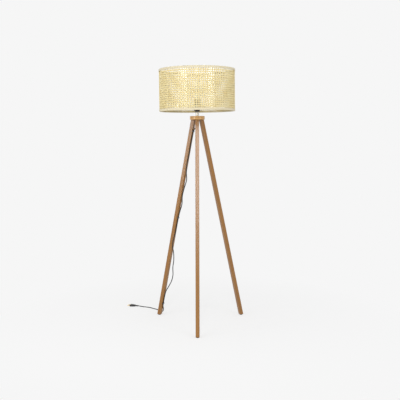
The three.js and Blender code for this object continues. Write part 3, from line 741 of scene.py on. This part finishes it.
def bush_mesh(diameter):
    """The bush that the cord leaves the hub by: a short collar with a rounded mouth."""
    bottom, top, outside = extent("cord_bush")
    hole, lip = diameter / 2 + 0.3 * MM, 1.5 * MM
    outline = [
        (hole, bottom, 0.6 * MM),
        (outside, bottom, 1.5 * MM),
        (outside, top, 0.4 * MM),
        (TUBE_HOLE, top, 0),
        (TUBE_HOLE, bottom + lip, 0),
        (hole, bottom + lip, 0.4 * MM),
    ]
    return turned(rounded(outline), 48)


# Shade


def strand_stations(start, end, places):
    """Where a strand's rings are from start to end: its ends, and these places in each cell."""
    cells = range(math.floor(start) - 1, math.ceil(end) + 1)
    inside = [(cell + share, rise) for cell in cells for share, rise in places]
    return [(start, 0), *sorted(kept for kept in inside if start < kept[0] < end), (end, 0)]


class Weave:
    """The drum's open weave: pairs of upright and level strands, locked by single strands both ways on the
    slant. A cell is one hole wide and high. Pairs run along the whole numbers, and the holes lie between.
    The cane is one sheet, whose two ends meet at the back, behind the seam strip."""

    # In cells: how far a slanting strand stays level either side of a crossing, and the shortest one kept
    FLAT = 0.16
    SHORTEST = 0.3

    def __init__(self, cane):
        self.turn = FULL_TURN / cane.holes_round
        self.start = cane.first_hole - self.turn / 2
        self.pitch = cane.hole_pitch
        self.base = high("shade_top_binding").z - cane.top_hole + self.pitch / 2
        self.radius = radius("shade_cane") - cane.wall / 2
        self.wide = cane.strand_width
        self.thick = cane.wall / 3
        self.step_u = cane.pair_spacing / 2 / (self.turn * self.radius)
        self.step_v = cane.pair_spacing / 2 / self.pitch
        self.bottom = (low("shade_cane").z - self.base) / self.pitch
        self.top = (high("shade_cane").z - self.base) / self.pitch
        butt = 0.1 * MM / (self.turn * self.radius)
        self.right = (math.pi / 2 - self.start) / self.turn - butt
        self.left = self.right - cane.holes_round + 2 * butt
        self.random = random.Random(11)
        self.clear()

    def clear(self):
        self.points, self.faces, self.tones = [], [], []

    def strand(self, line):
        """Adds one strand along a line of (u, v, rise): a flat strip with a rounded outer face."""
        first, half, last = len(self.points), self.wide / 2, len(line) - 1
        section = [(-half, -0.5), (-0.8 * half, 0.25), (0, 0.5), (0.8 * half, 0.25), (half, -0.5)]
        count = len(section)
        for i, (u, v, rise) in enumerate(line):
            before, after = line[max(i - 1, 0)], line[min(i + 1, last)]
            along = (after[0] - before[0]) * self.turn * self.radius
            way = Vector((along, (after[1] - before[1]) * self.pitch)).normalized()
            angle = self.start + u * self.turn
            out = outward(angle)
            across = Vector((-out.y, out.x, 0)) * way.y - Vector((0, 0, way.x))
            centre = around(angle, self.radius + rise, self.base + v * self.pitch)
            self.points += [centre + across * x + out * y * self.thick for x, y in section]
        self.tones += [self.random.random()] * (count * len(line))
        self.faces += ring_faces(count, len(line), first)
        self.faces += [[start + k for k in range(count)] for start in (first, first + count * last)]

    def mesh(self, name):
        made = bpy.data.meshes.new(name)
        made.from_pydata(self.points, [], self.faces)
        made.attributes.new("tone", "FLOAT", "POINT").data.foreach_set("value", self.tones)
        self.clear()
        # The bevels of a strand's outer face shade as one round face
        return shaded(made, 62)

    def uprights(self):
        """Each pair's left strand goes behind a level pair's lower strand, and its right strand before it."""
        rise = self.thick / 2
        for i in range(math.ceil(self.left), math.floor(self.right) + 1):
            for side in (-1, 1):
                places = ((-self.step_v, side * rise), (self.step_v, -side * rise), (0.5, 0))
                rows = strand_stations(self.bottom, self.top, places)
                self.strand([(i + side * self.step_u, v, lift) for v, lift in rows])
        return self.mesh("cane_uprights")

    def levels(self):
        """The level pairs, over and under the upright ones."""
        rise = self.thick / 2
        for j in range(math.ceil(self.bottom), math.floor(self.top) + 1):
            for side in (-1, 1):
                v = j + side * self.step_v
                if self.bottom < v < self.top:
                    places = ((-self.step_u, -side * rise), (self.step_u, side * rise), (0.5, 0))
                    columns = strand_stations(self.left, self.right, places)
                    self.strand([(u, v, lift) for u, lift in columns])
        return self.mesh("cane_levels")

    def slants(self, lean):
        """One slanting strand to a cell: before the level pairs and behind the upright, or the reverse."""
        rise, flat = self.thick * lean, self.FLAT
        places = ((-flat, rise), (flat, rise), (0.5 - flat, -rise), (0.5 + flat, -rise))
        reach = max(-self.bottom, self.top)
        for k in range(math.floor(self.left - reach) - 1, math.ceil(self.right + reach) + 1):
            ends = sorted(lean * (edge - k - 0.5) for edge in (self.left, self.right))
            start, end = max(self.bottom, ends[0]), min(self.top, ends[1])
            if end - start > self.SHORTEST:
                rows = strand_stations(start, end, places)
                self.strand([(lean * v + k + 0.5, v, lift) for v, lift in rows])
        return self.mesh("cane_slants")


def film_mesh(cane):
    """The clear sheet behind the weave, as high as the cane."""
    inside = radius("shade_cane") - cane.film_inset
    outside = inside + cane.film_thickness
    lower, upper = low("shade_cane").z, high("shade_cane").z
    return turned([(inside, lower), (outside, lower), (outside, upper), (inside, upper)], 180)


class LAMP_OT_cane(bpy.types.Operator):
    """Weave the drum of cane over its clear sheet"""

    bl_idname = "lamp.cane"
    bl_label = "Woven cane"

    def execute(self, context):
        cane = context.scene.lamp_cane
        weave = Weave(cane)
        piece("cane_uprights", weave.uprights(), "cane", "shade", "shade_cane")
        piece("cane_levels", weave.levels(), "cane", "shade", "shade_cane")
        piece("cane_slants_right", weave.slants(1), "cane", "shade", "shade_cane")
        piece("cane_slants_left", weave.slants(-1), "cane", "shade", "shade_cane")
        film = piece("cane_film", film_mesh(cane), "cane", "shade", "shade_cane")
        film.data.materials[0] = clear_film()
        return {"FINISHED"}


def binding_mesh(node, edge, inward, shade):
    """Tape folded over the drum's edge and a wire ring, a little uneven as hand work is."""
    thick = shade.tape_thickness
    outside = radius(node)
    height = high(node).z - low(node).z
    # The fold reaches in over the cane's edge and the wire ring
    fold = outside - 7.5 * MM
    lumps, lump_height = 9, 0.22 * MM
    outline = [
        (outside, edge + inward * height, 0.4 * MM),
        (outside, edge, 2.2 * MM),
        (fold - thick, edge, 2.2 * MM),
        (fold - thick, edge + inward * shade.lining_height, 0.4 * MM),
        (fold, edge + inward * shade.lining_height, 0.4 * MM),
        (fold, edge + inward * thick, 1 * MM),
        (outside - thick, edge + inward * thick, 1 * MM),
        (outside - thick, edge + inward * height, 0.4 * MM),
    ]

    def uneven(angle, reach, z):
        return noise.noise(outward(angle) * lumps + Vector((0, 0, z / (6 * MM)))) * lump_height

    return turned(rounded(outline), 240, uneven)


def seam_mesh():
    """The strip that covers the join of the cane's two ends, inside the drum at the back."""
    lower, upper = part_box("shade_seam_strip")
    outside = upper.y - AXIS.y
    width, thick, edge = upper.x - lower.x, 1 * MM, 0.3 * MM
    outline = collar(outside - thick, outside, lower.z, upper.z, edge, edge)
    turn = width / outside
    return turned(outline, 10, start=math.pi / 2 - turn / 2, turn=turn)


def wire_ring(node):
    """A wire hoop inside a binding."""
    reach = radius(node) - WIRE
    outline = [Vector((reach + x, middle(node).z + y)) for x, y in circle(WIRE, 12)]
    return turned(outline, 160)


class LAMP_OT_bindings(bpy.types.Operator):
    """Bind the drum's edges and cover its seam"""

    bl_idname = "lamp.bindings"
    bl_label = "Bindings"

    def execute(self, context):
        shade = context.scene.lamp_shade
        for node, edge, inward in (
            ("shade_top_binding", high("shade_top_binding").z, -1),
            ("shade_bottom_binding", low("shade_bottom_binding").z, 1),
        ):
            detailed(node, binding_mesh(node, edge, inward, shade), "tape")
        detailed("shade_seam_strip", seam_mesh(), "tape")
        for node in ("shade_upper_ring", "shade_lower_ring"):
            detailed(node, wire_ring(node), "wire")
        return {"FINISHED"}


def spoke_mesh(number):
    """A wire spoke, level at the fitter's rim and welded to the inside of the lower ring."""
    angle = math.pi / 2 + number * FULL_TURN / 3
    rim = radius("shade_fitter")
    start_z, end_z = middle("shade_fitter").z, middle("shade_lower_ring").z
    end = radius("shade_lower_ring") - 2.5 * MM
    over_rim = [(rim - 1 * MM, start_z), (rim + 4 * MM, start_z)]
    stations = [*over_rim, (end - 6 * MM, end_z + 1 * MM), (end, end_z)]
    path = [around(angle, reach, z) for reach, z in stations]
    return swept(through(path, 4 * MM), circle(WIRE, 16))


def fitter_mesh():
    """The pressed ring that sits on the lampholder, with a rolled rim."""
    bottom, top, outside = extent("shade_fitter")
    hole = radius("holder_body") - HOLDER_STEP
    return turned(collar(hole, outside, bottom, top, 0.4 * MM, 0.7 * MM))


def ring_nut_mesh():
    """The moulded ring nut with shallow finger grips round it."""
    bottom, top, outside = extent("shade_ring_nut")
    hole, grips, depth = radius("holder_body") - HOLDER_STEP, 16, 1 * MM
    outline = [
        (hole, bottom, 0.4 * MM),
        (outside, bottom, 1 * MM),
        (outside, top, 1.4 * MM),
        (outside - 2.2 * MM, top, 0),
        (outside - 3 * MM, top - 0.6 * MM, 0),
        (hole, top - 0.6 * MM, 0.5 * MM),
    ]

    def grip(angle, reach, z):
        if reach < outside - 1.6 * MM:
            return 0
        return -depth * max(0, math.cos(grips * angle)) ** 0.5

    return turned(rounded(outline), 192, grip)


class LAMP_OT_carrier(bpy.types.Operator):
    """Make the spokes, fitter and ring nut that carry the shade"""

    bl_idname = "lamp.carrier"
    bl_label = "Shade carrier"

    def execute(self, context):
        detailed("shade_fitter", fitter_mesh())
        for number in range(3):
            detailed(f"shade_spoke_{number + 1}", spoke_mesh(number), "wire")
        detailed("shade_ring_nut", ring_nut_mesh())
        return {"FINISHED"}


# Hub, legs and feet


def with_grain(mesh, places):
    """Stores where each point lies in the wood, with the grain along Z."""
    values = [value for place in places for value in place]
    mesh.attributes.new("grain", "FLOAT_VECTOR", "POINT").data.foreach_set("vector", values)
    return mesh


def hub_mesh():
    """A turned disc with soft edges and a recess under it."""
    bottom, top, outside = extent("hub")
    recess, depth = 13 * MM, 14.5 * MM
    outline = [
        (TUBE_HOLE, top, 0),
        (outside, top, 2.6 * MM),
        (outside, bottom, 2.2 * MM),
        (recess, bottom, 0.5 * MM),
        (recess, bottom + depth, 0),
        (TUBE_HOLE, bottom + depth, 0),
    ]
    mesh = turned(rounded(outline, 6), 144)
    return with_grain(mesh, [(v.co.y, v.co.z, v.co.x) for v in mesh.vertices])


def leg_mesh(number, turn, edge):
    """A straight square bar with eased edges, cut level at both ends."""
    x, y = LEG_ACROSS / 2, LEG_WIDTH / 2
    section = rounded([(x, -y, edge), (x, y, edge), (-x, y, edge), (-x, -y, edge)], 5)
    ease = 0.7 * MM
    rows = [(0, ease), (ease, 0), (LEG_RISE - ease, 0), (LEG_RISE, ease)]
    points, grain = [], []
    for height, inset in rows:
        for place in section:
            across, wide = place * (1 - inset / y)
            points.append((FOOT_RADIUS - height * math.tan(LEAN) + across, wide, low("leg_front").z + height))
            grain.append((across + number, wide, height / math.cos(LEAN)))
    mesh = with_grain(tube("leg", points, len(section)), grain)
    mesh.transform(Matrix.Translation(AXIS) @ Matrix.Rotation(turn, 4, "Z"))
    return finished(mesh)


def pad_mesh(node):
    """A foot pad, rounded where it meets the floor."""
    bottom, top, size = low(node).z, high(node).z, 9 * MM
    outline = [(0, bottom, 0), (size, bottom, 1.4 * MM), (size, top, 0.4 * MM), (0, top, 0)]
    return turned(rounded(outline), 64, place=Matrix.Translation(Vector((*middle(node).xy, 0))))


class LAMP_OT_stand(bpy.types.Operator):
    """Make the hub, the three legs and their feet"""

    bl_idname = "lamp.stand"
    bl_label = "Hub and legs"

    def execute(self, context):
        detailed("hub", hub_mesh())
        edge = context.scene.lamp_wood.edge
        for number, (side, degrees) in enumerate(LEG_TURNS.items()):
            detailed(f"leg_{side}", leg_mesh(number, math.radians(degrees), edge))
            pad = f"foot_pad_{side}"
            detailed(pad, pad_mesh(pad))
            dressed(f"leg_bolt_{side}", f"hub_insert_{side}")
        for place in ("low", "middle", "high"):
            for node, easing in ((f"cord_clip_{place}", 0.5 * MM), (f"clip_nail_{place}", 0.2 * MM)):
                detailed(node, softened(node, easing))
        return {"FINISHED"}


# Stem and lampholder


def stem_mesh():
    """A drawn tube with eased ends."""
    bottom, top, outside = extent("stem")
    wall = 1.5 * MM
    return turned(collar(outside - wall, outside, bottom, top, 0.5 * MM, 0.8 * MM))


def thread(pitch, depth, outside, bottom, top):
    """A ripple that cuts one thread into the outer wall between two heights."""

    def cut(angle, reach, z):
        if reach < outside - TINY or not bottom < z < top:
            return 0
        wave = (z / pitch - angle / FULL_TURN) % 1
        return -depth * (0.5 - 0.5 * math.cos(FULL_TURN * wave))

    return cut


def wall_rows(outside, bottom, top, pitch, steps=6):
    """Outline points up a wall, close enough together to carry a thread."""
    count = round((top - bottom) / pitch * steps)
    return [(outside, bottom + (top - bottom) * i / count, 0) for i in range(count + 1)]


def holder_body_mesh():
    """The lampholder's body: a smooth flange, and above it the thread that the ring nut runs on."""
    bottom, top, flange = extent("holder_body")
    skirt, wall, pitch = flange - 1.7 * MM, 2 * MM, 2.5 * MM
    shoulder = bottom + 3.4 * MM
    outline = [
        (skirt - wall, bottom, 0),
        (flange, bottom, 0.5 * MM),
        (flange, shoulder, 0.8 * MM),
        *wall_rows(skirt, shoulder + 0.2 * MM, top - 0.6 * MM, pitch),
        (skirt - 0.3 * MM, top, 0.3 * MM),
        (skirt - wall, top, 0.4 * MM),
    ]
    cut = thread(pitch, 0.7 * MM, skirt, shoulder + 0.4 * MM, top - 0.8 * MM)
    return turned(rounded(outline, 3), 96, cut)


def holder_cap_mesh():
    """The lampholder's cap: a rounded bowl with fine ribs round its widest part."""
    bottom, top, outside = extent("holder_cap")
    base, wall = 10.5 * MM, 2 * MM
    shoulder = bottom + 12 * MM
    ribs, depth = 60, 0.35 * MM
    outline = [
        (TUBE_HOLE, bottom, 0.4 * MM),
        (base, bottom, 3 * MM),
        (outside, shoulder, 5 * MM),
        (outside, top - 3 * MM, 0),
        (outside, top, 0.5 * MM),
        (outside - wall, top, 0),
        (outside - wall, shoulder + wall, 0),
        (base - wall, bottom + wall, 0),
        (TUBE_HOLE, bottom + wall, 0),
    ]

    def rib(angle, reach, z):
        ribbed = reach > outside - 0.2 * MM and z > shoulder
        return -depth * (0.5 + 0.5 * math.cos(ribs * angle)) if ribbed and z < top - 1 * MM else 0

    return turned(rounded(outline), 240, rib, sharp=50)


def facing_front(height):
    """The frame of a piece that points to the front at a height: its Z runs towards -Y."""
    place = Matrix.Translation(AXIS + Vector((0, 0, height)))
    return place @ Matrix.Rotation(math.pi / 2, 4, "X")


def knob_mesh():
    """The switch's fluted knob with a domed end."""
    lower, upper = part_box("switch_knob")
    start, end = AXIS.y - upper.y, AXIS.y - lower.y
    outside, flutes, depth = radius("switch_knob"), 20, 0.5 * MM
    outline = [(0, start, 0), (outside, start, 0.5 * MM), (outside, end, 2 * MM), (0, end, 0)]

    def flute(angle, reach, z):
        if reach < outside * 0.9 or z > end - 1.4 * MM:
            return 0
        return -depth * (0.5 + 0.5 * math.cos(flutes * angle))

    place = facing_front(middle("switch_knob").z)
    return turned(rounded(outline, 5), 160, flute, place)


class LAMP_OT_holder(bpy.types.Operator):
    """Make the stem, the lampholder and its switch"""

    bl_idname = "lamp.holder"
    bl_label = "Lampholder"

    def execute(self, context):
        detailed("stem", stem_mesh())
        detailed("holder_cap", holder_cap_mesh())
        detailed("holder_body", holder_body_mesh())
        detailed("switch_knob", knob_mesh())
        inside = ("socket_core", "screw_shell", "centre_contact", "switch_block")
        for node in (*inside, "tube_nut", "tube_washer"):
            detailed(node, softened(node, 0.25 * MM))
        dressed("threaded_tube", "switch_shaft")
        return {"FINISHED"}


# Bulb


def bulb_outline(inset):
    """Half of the glass's outline, from its crown down the globe and neck into the cap."""
    top = high("bulb_glass").z - inset
    size, neck = 30 * MM, 12.2 * MM - inset
    # The curve from the globe to the neck is pulled this far off the globe and up from the neck
    off_globe, up_neck = 12 * MM, 10 * MM
    centre = high("bulb_glass").z - size
    size -= inset
    leave = math.radians(-35)
    steps = 20
    made = []
    for step in range(steps + 1):
        angle = math.pi / 2 + (leave - math.pi / 2) * step / steps
        made.append(Vector((size * math.cos(angle), centre + size * math.sin(angle))))
    made[0] = Vector((0, top))
    start = made[-1]
    way = Vector((math.sin(leave), -math.cos(leave)))
    neck_top = high("bulb_cap").z + 8 * MM
    corners = [start, start + way * off_globe, Vector((neck, neck_top + up_neck)), Vector((neck, neck_top))]
    for step in range(1, steps):
        t = step / steps
        shares = ((1 - t) ** 3, 3 * t * (1 - t) ** 2, 3 * t**2 * (1 - t), t**3)
        made.append(sum((corner * share for corner, share in zip(corners, shares)), Vector((0, 0))))
    return [*made, Vector((neck, neck_top)), Vector((neck, low("bulb_glass").z))]


def bulb_cap_mesh():
    """The rolled screw cap, with one round thread."""
    bottom, top, outside = extent("bulb_cap")
    pitch, tip, neck = 3.63 * MM, 4.2 * MM, 12.6 * MM
    outline = [
        (tip, bottom, 0),
        (tip + 1 * MM, bottom, 0.3 * MM),
        (outside - 0.6 * MM, bottom + 4 * MM, 1 * MM),
        *wall_rows(outside, bottom + 4.6 * MM, top - 1.5 * MM, pitch, 8),
        (outside, top, 0.4 * MM),
        (neck, top, 0.2 * MM),
        (neck, bottom + 8 * MM, 0),
        (tip, bottom + 0.6 * MM, 0),
    ]
    return turned(rounded(outline, 3), 96, thread(pitch, 0.9 * MM, outside, bottom + 5 * MM, top - 2 * MM))


def rod_mesh(start, end, size):
    """A round rod with domed ends."""
    way = end - start
    outline = [(0, 0, 0), (size, 0, size * 0.9), (size, way.length, size * 0.9), (0, way.length, 0)]
    place = Matrix.Translation(start) @ way.to_track_quat("Z", "Y").to_matrix().to_4x4()
    return turned(rounded(outline, 3), 16, place=place)


def joined(meshes):
    """One mesh of several."""
    bm = bmesh.new()
    for mesh in meshes:
        bm.from_mesh(mesh)
        bpy.data.meshes.remove(mesh)
    made = bpy.data.meshes.new("joined")
    bm.to_mesh(made)
    bm.free()
    return shaded(made)


def light_rods(foot, head):
    """Four rods that lean in to the top of a post, and the bare wires that hold them."""
    foot_reach, head_reach = 8 * MM, 3 * MM
    rod, wire, strut, post = 0.9 * MM, 0.35 * MM, 0.3 * MM, 0.4 * MM
    strut_foot, post_foot, post_head = (
        AXIS + Vector((0, 0, height)) for height in (foot - 8 * MM, foot - 6 * MM, head)
    )
    bare = 0.06
    rods, wires = [], []
    for number in range(4):
        angle = FULL_TURN * (number + 0.5) / 4
        start, end = around(angle, foot_reach, foot), around(angle, head_reach, head)
        rods.append(rod_mesh(start.lerp(end, bare), start.lerp(end, 1 - bare), rod))
        wires.append(rod_mesh(start, end, wire))
        wires.append(rod_mesh(strut_foot, start, strut))
    wires.append(rod_mesh(post_foot, post_head, post))
    return joined(rods), joined(wires)


def bulb_stem_mesh(bottom, foot):
    """The glass stem inside the neck, flared at its foot."""
    outline = [
        (0, bottom, 0),
        (11 * MM, bottom, 1 * MM),
        (3 * MM, bottom + 14 * MM, 5 * MM),
        (2.4 * MM, foot - 6 * MM, 1 * MM),
        (0, foot - 5 * MM, 0),
    ]
    return turned(rounded(outline), 48)


class LAMP_OT_bulb(bpy.types.Operator):
    """Make the clear bulb with its four light rods"""

    bl_idname = "lamp.bulb"
    bl_label = "Bulb"

    def execute(self, context):
        glass = bulb_outline(0) + bulb_outline(0.8 * MM)[::-1]
        detailed("bulb_glass", turned(glass, 96))
        detailed("bulb_cap", bulb_cap_mesh())
        bottom, top, size = extent("bulb_tip")
        tip = [(0, bottom, 0), (size * 0.7, bottom, 1.5 * MM), (size, top, 0), (0, top, 0)]
        detailed("bulb_tip", turned(rounded(tip), 48))
        lower, upper = low("bulb_filament").z, high("bulb_filament").z
        foot, head = upper - 35 * MM, upper - 1.5 * MM
        rods, wires = light_rods(foot, head)
        piece("bulb_light_rods", rods, "filament", "bulb", "bulb_filament")
        piece("bulb_wires", wires, "steel", "bulb", "bulb_filament")
        piece("bulb_stem", bulb_stem_mesh(lower, foot), "clear_glass", "bulb", "bulb_filament")
        return {"FINISHED"}


# Stage

DOME_WAY = Vector((0.1, -0.65, 0.75))
DOME_FOCUS = 3
FLOOR_REACH = 30


def seen_rays(tree):
    """1 for the rays that show the backdrop, straight or by gloss or glass, and 0 for those that light."""
    rays = put(tree, "ShaderNodeLightPath").outputs
    straight = {0: rays["Is Camera Ray"], 1: rays["Is Glossy Ray"]}
    both = put(tree, "ShaderNodeMath", straight, operation="MAXIMUM").outputs[0]
    inputs = {0: both, 1: rays["Is Transmission Ray"]}
    return put(tree, "ShaderNodeMath", inputs, operation="MAXIMUM").outputs[0]


def mixed_by(tree, share, first, second):
    """A shader that is the first where the share is 0, and the second where it is 1."""
    inputs = {0: share, 1: first.outputs[0], 2: second.outputs[0]}
    return put(tree, "ShaderNodeMixShader", inputs)


def stage_material(stage):
    """A pale seamless floor: it keeps soft shadows near the lamp and fades into the backdrop round it."""
    made, tree = blank("Backdrop paper, pale grey")
    place = put(tree, "ShaderNodeTexCoord").outputs["Object"]
    far = put(tree, "ShaderNodeVectorMath", {0: place}, operation="LENGTH").outputs["Value"]
    fade = {"Value": far, "From Min": 0.4, "From Max": 1.3, "To Min": 0.3, "To Max": 0}
    near = put(tree, "ShaderNodeMapRange", fade).outputs["Result"]
    matte = put(tree, "ShaderNodeBsdfDiffuse", {"Color": (1, 1, 1, 1)})
    glow = put(tree, "ShaderNodeEmission", {"Color": opaque(stage.backdrop), "Strength": 1})
    bounced = put(tree, "ShaderNodeBsdfDiffuse", {"Color": opaque([stage.bounce] * 3)})
    both = mixed_by(tree, seen_rays(tree), bounced, mixed_by(tree, near, glow, matte))
    put(tree, "ShaderNodeOutputMaterial", {"Surface": both.outputs[0]})
    return made


def studio_world(stage):
    """An even light, a little stronger from over the front, in front of a plain backdrop."""
    world = bpy.data.worlds.new("Studio")
    world.use_nodes = True
    tree = world.node_tree
    tree.nodes.clear()
    way = put(tree, "ShaderNodeTexCoord").outputs["Generated"]
    toward = {0: way, 1: DOME_WAY.normalized()}
    facing = put(tree, "ShaderNodeVectorMath", toward, operation="DOT_PRODUCT").outputs["Value"]
    facing = put(tree, "ShaderNodeMath", {0: facing, 1: 0}, operation="MAXIMUM").outputs[0]
    share = put(tree, "ShaderNodeMath", {0: facing, 1: DOME_FOCUS}, operation="POWER").outputs[0]
    sums = {0: share, 1: stage.dome, 2: stage.ambient}
    level = put(tree, "ShaderNodeMath", sums, operation="MULTIPLY_ADD").outputs[0]
    even = put(tree, "ShaderNodeBackground", {"Color": (1, 1, 1, 1), "Strength": level})
    shown = put(tree, "ShaderNodeBackground", {"Color": opaque(stage.backdrop), "Strength": 1})
    both = mixed_by(tree, seen_rays(tree), even, shown)
    put(tree, "ShaderNodeOutputWorld", {"Surface": both.outputs[0]})
    return world


def box_light(name, turn, distance, height, size, watts, target_height):
    """A soft box round the lamp, turned in degrees from the camera's side and aimed at the lamp's axis."""
    data = bpy.data.lights.new(name, "AREA")
    data.shape = "RECTANGLE"
    data.size, data.size_y = size
    data.energy = watts
    light = bpy.data.objects.new(name, data)
    bpy.context.scene.collection.objects.link(light)
    facing = math.radians(turn - 90) + CAMERA_TURN
    place = AXIS + Vector((math.cos(facing) * distance, math.sin(facing) * distance, height))
    aim = AXIS + Vector((0, 0, target_height)) - place
    light.matrix_world = Matrix.Translation(place) @ aim.to_track_quat("-Z", "Y").to_matrix().to_4x4()
    light.visible_camera = False


class LAMP_OT_stage(bpy.types.Operator):
    """Set up the floor, the backdrop and the lights"""

    bl_idname = "lamp.stage"
    bl_label = "Stage"

    def execute(self, context):
        stage = context.scene.lamp_stage
        mesh = bpy.data.meshes.new("floor")
        corners = [(FLOOR_REACH * x, FLOOR_REACH * y, 0) for x, y in ((-1, -1), (1, -1), (1, 1), (-1, 1))]
        mesh.from_pydata(corners, [], [(0, 1, 2, 3)])
        mesh.materials.append(stage_material(stage))
        floor = bpy.data.objects.new("floor", mesh)
        context.scene.collection.objects.link(floor)
        context.scene.world = studio_world(stage)
        context.scene.view_settings.view_transform = "Standard"
        # Degrees round the lamp, distance, height, size, power and the height of the aim
        box_light("left_box", -40.5, 2.6, 1.6, (1.05, 0.5), stage.left_power, 1.4)
        box_light("left_strip", -61, 2.6, 1.0, (0.45, 0.9), stage.strip_power, 0.9)
        box_light("right_box", 40, 2.6, 1.6, (0.95, 0.5), stage.right_power, 1.4)
        box_light("front_box", -2, 5.0, 3.3, (0.75, 2.4), stage.front_power, 1.0)
        return {"FINISHED"}


class LAMP_PT_panel(bpy.types.Panel):
    """The lamp's steps in the sidebar"""

    bl_idname = "LAMP_PT_panel"
    bl_label = "Rattan floor lamp"
    bl_space_type = "VIEW_3D"
    bl_region_type = "UI"
    bl_category = "Lamp"

    def draw(self, context):
        for operator in OPERATORS:
            self.layout.operator(operator.bl_idname)


OPERATORS = (
    LAMP_OT_camera,
    LAMP_OT_cord,
    LAMP_OT_cane,
    LAMP_OT_bindings,
    LAMP_OT_carrier,
    LAMP_OT_stand,
    LAMP_OT_holder,
    LAMP_OT_bulb,
    LAMP_OT_stage,
)
GROUPS = {
    "lamp_cane": CaneProperties,
    "lamp_shade": ShadeProperties,
    "lamp_wood": WoodProperties,
    "lamp_cord": CordProperties,
    "lamp_stage": StageProperties,
}


def register():
    for made in (*GROUPS.values(), *OPERATORS, LAMP_PT_panel):
        bpy.utils.register_class(made)
    for name, group in GROUPS.items():
        setattr(bpy.types.Scene, name, PointerProperty(type=group))


def unregister():
    for name in GROUPS:
        delattr(bpy.types.Scene, name)
    for made in (LAMP_PT_panel, *reversed(OPERATORS), *GROUPS.values()):
        bpy.utils.unregister_class(made)


def main():
    register()
    bpy.ops.lamp.camera()
    bpy.ops.lamp.cord()
    bpy.ops.lamp.cane()
    bpy.ops.lamp.bindings()
    bpy.ops.lamp.carrier()
    bpy.ops.lamp.stand()
    bpy.ops.lamp.holder()
    bpy.ops.lamp.bulb()
    bpy.ops.lamp.stage()


if __name__ == "__main__":
    main()
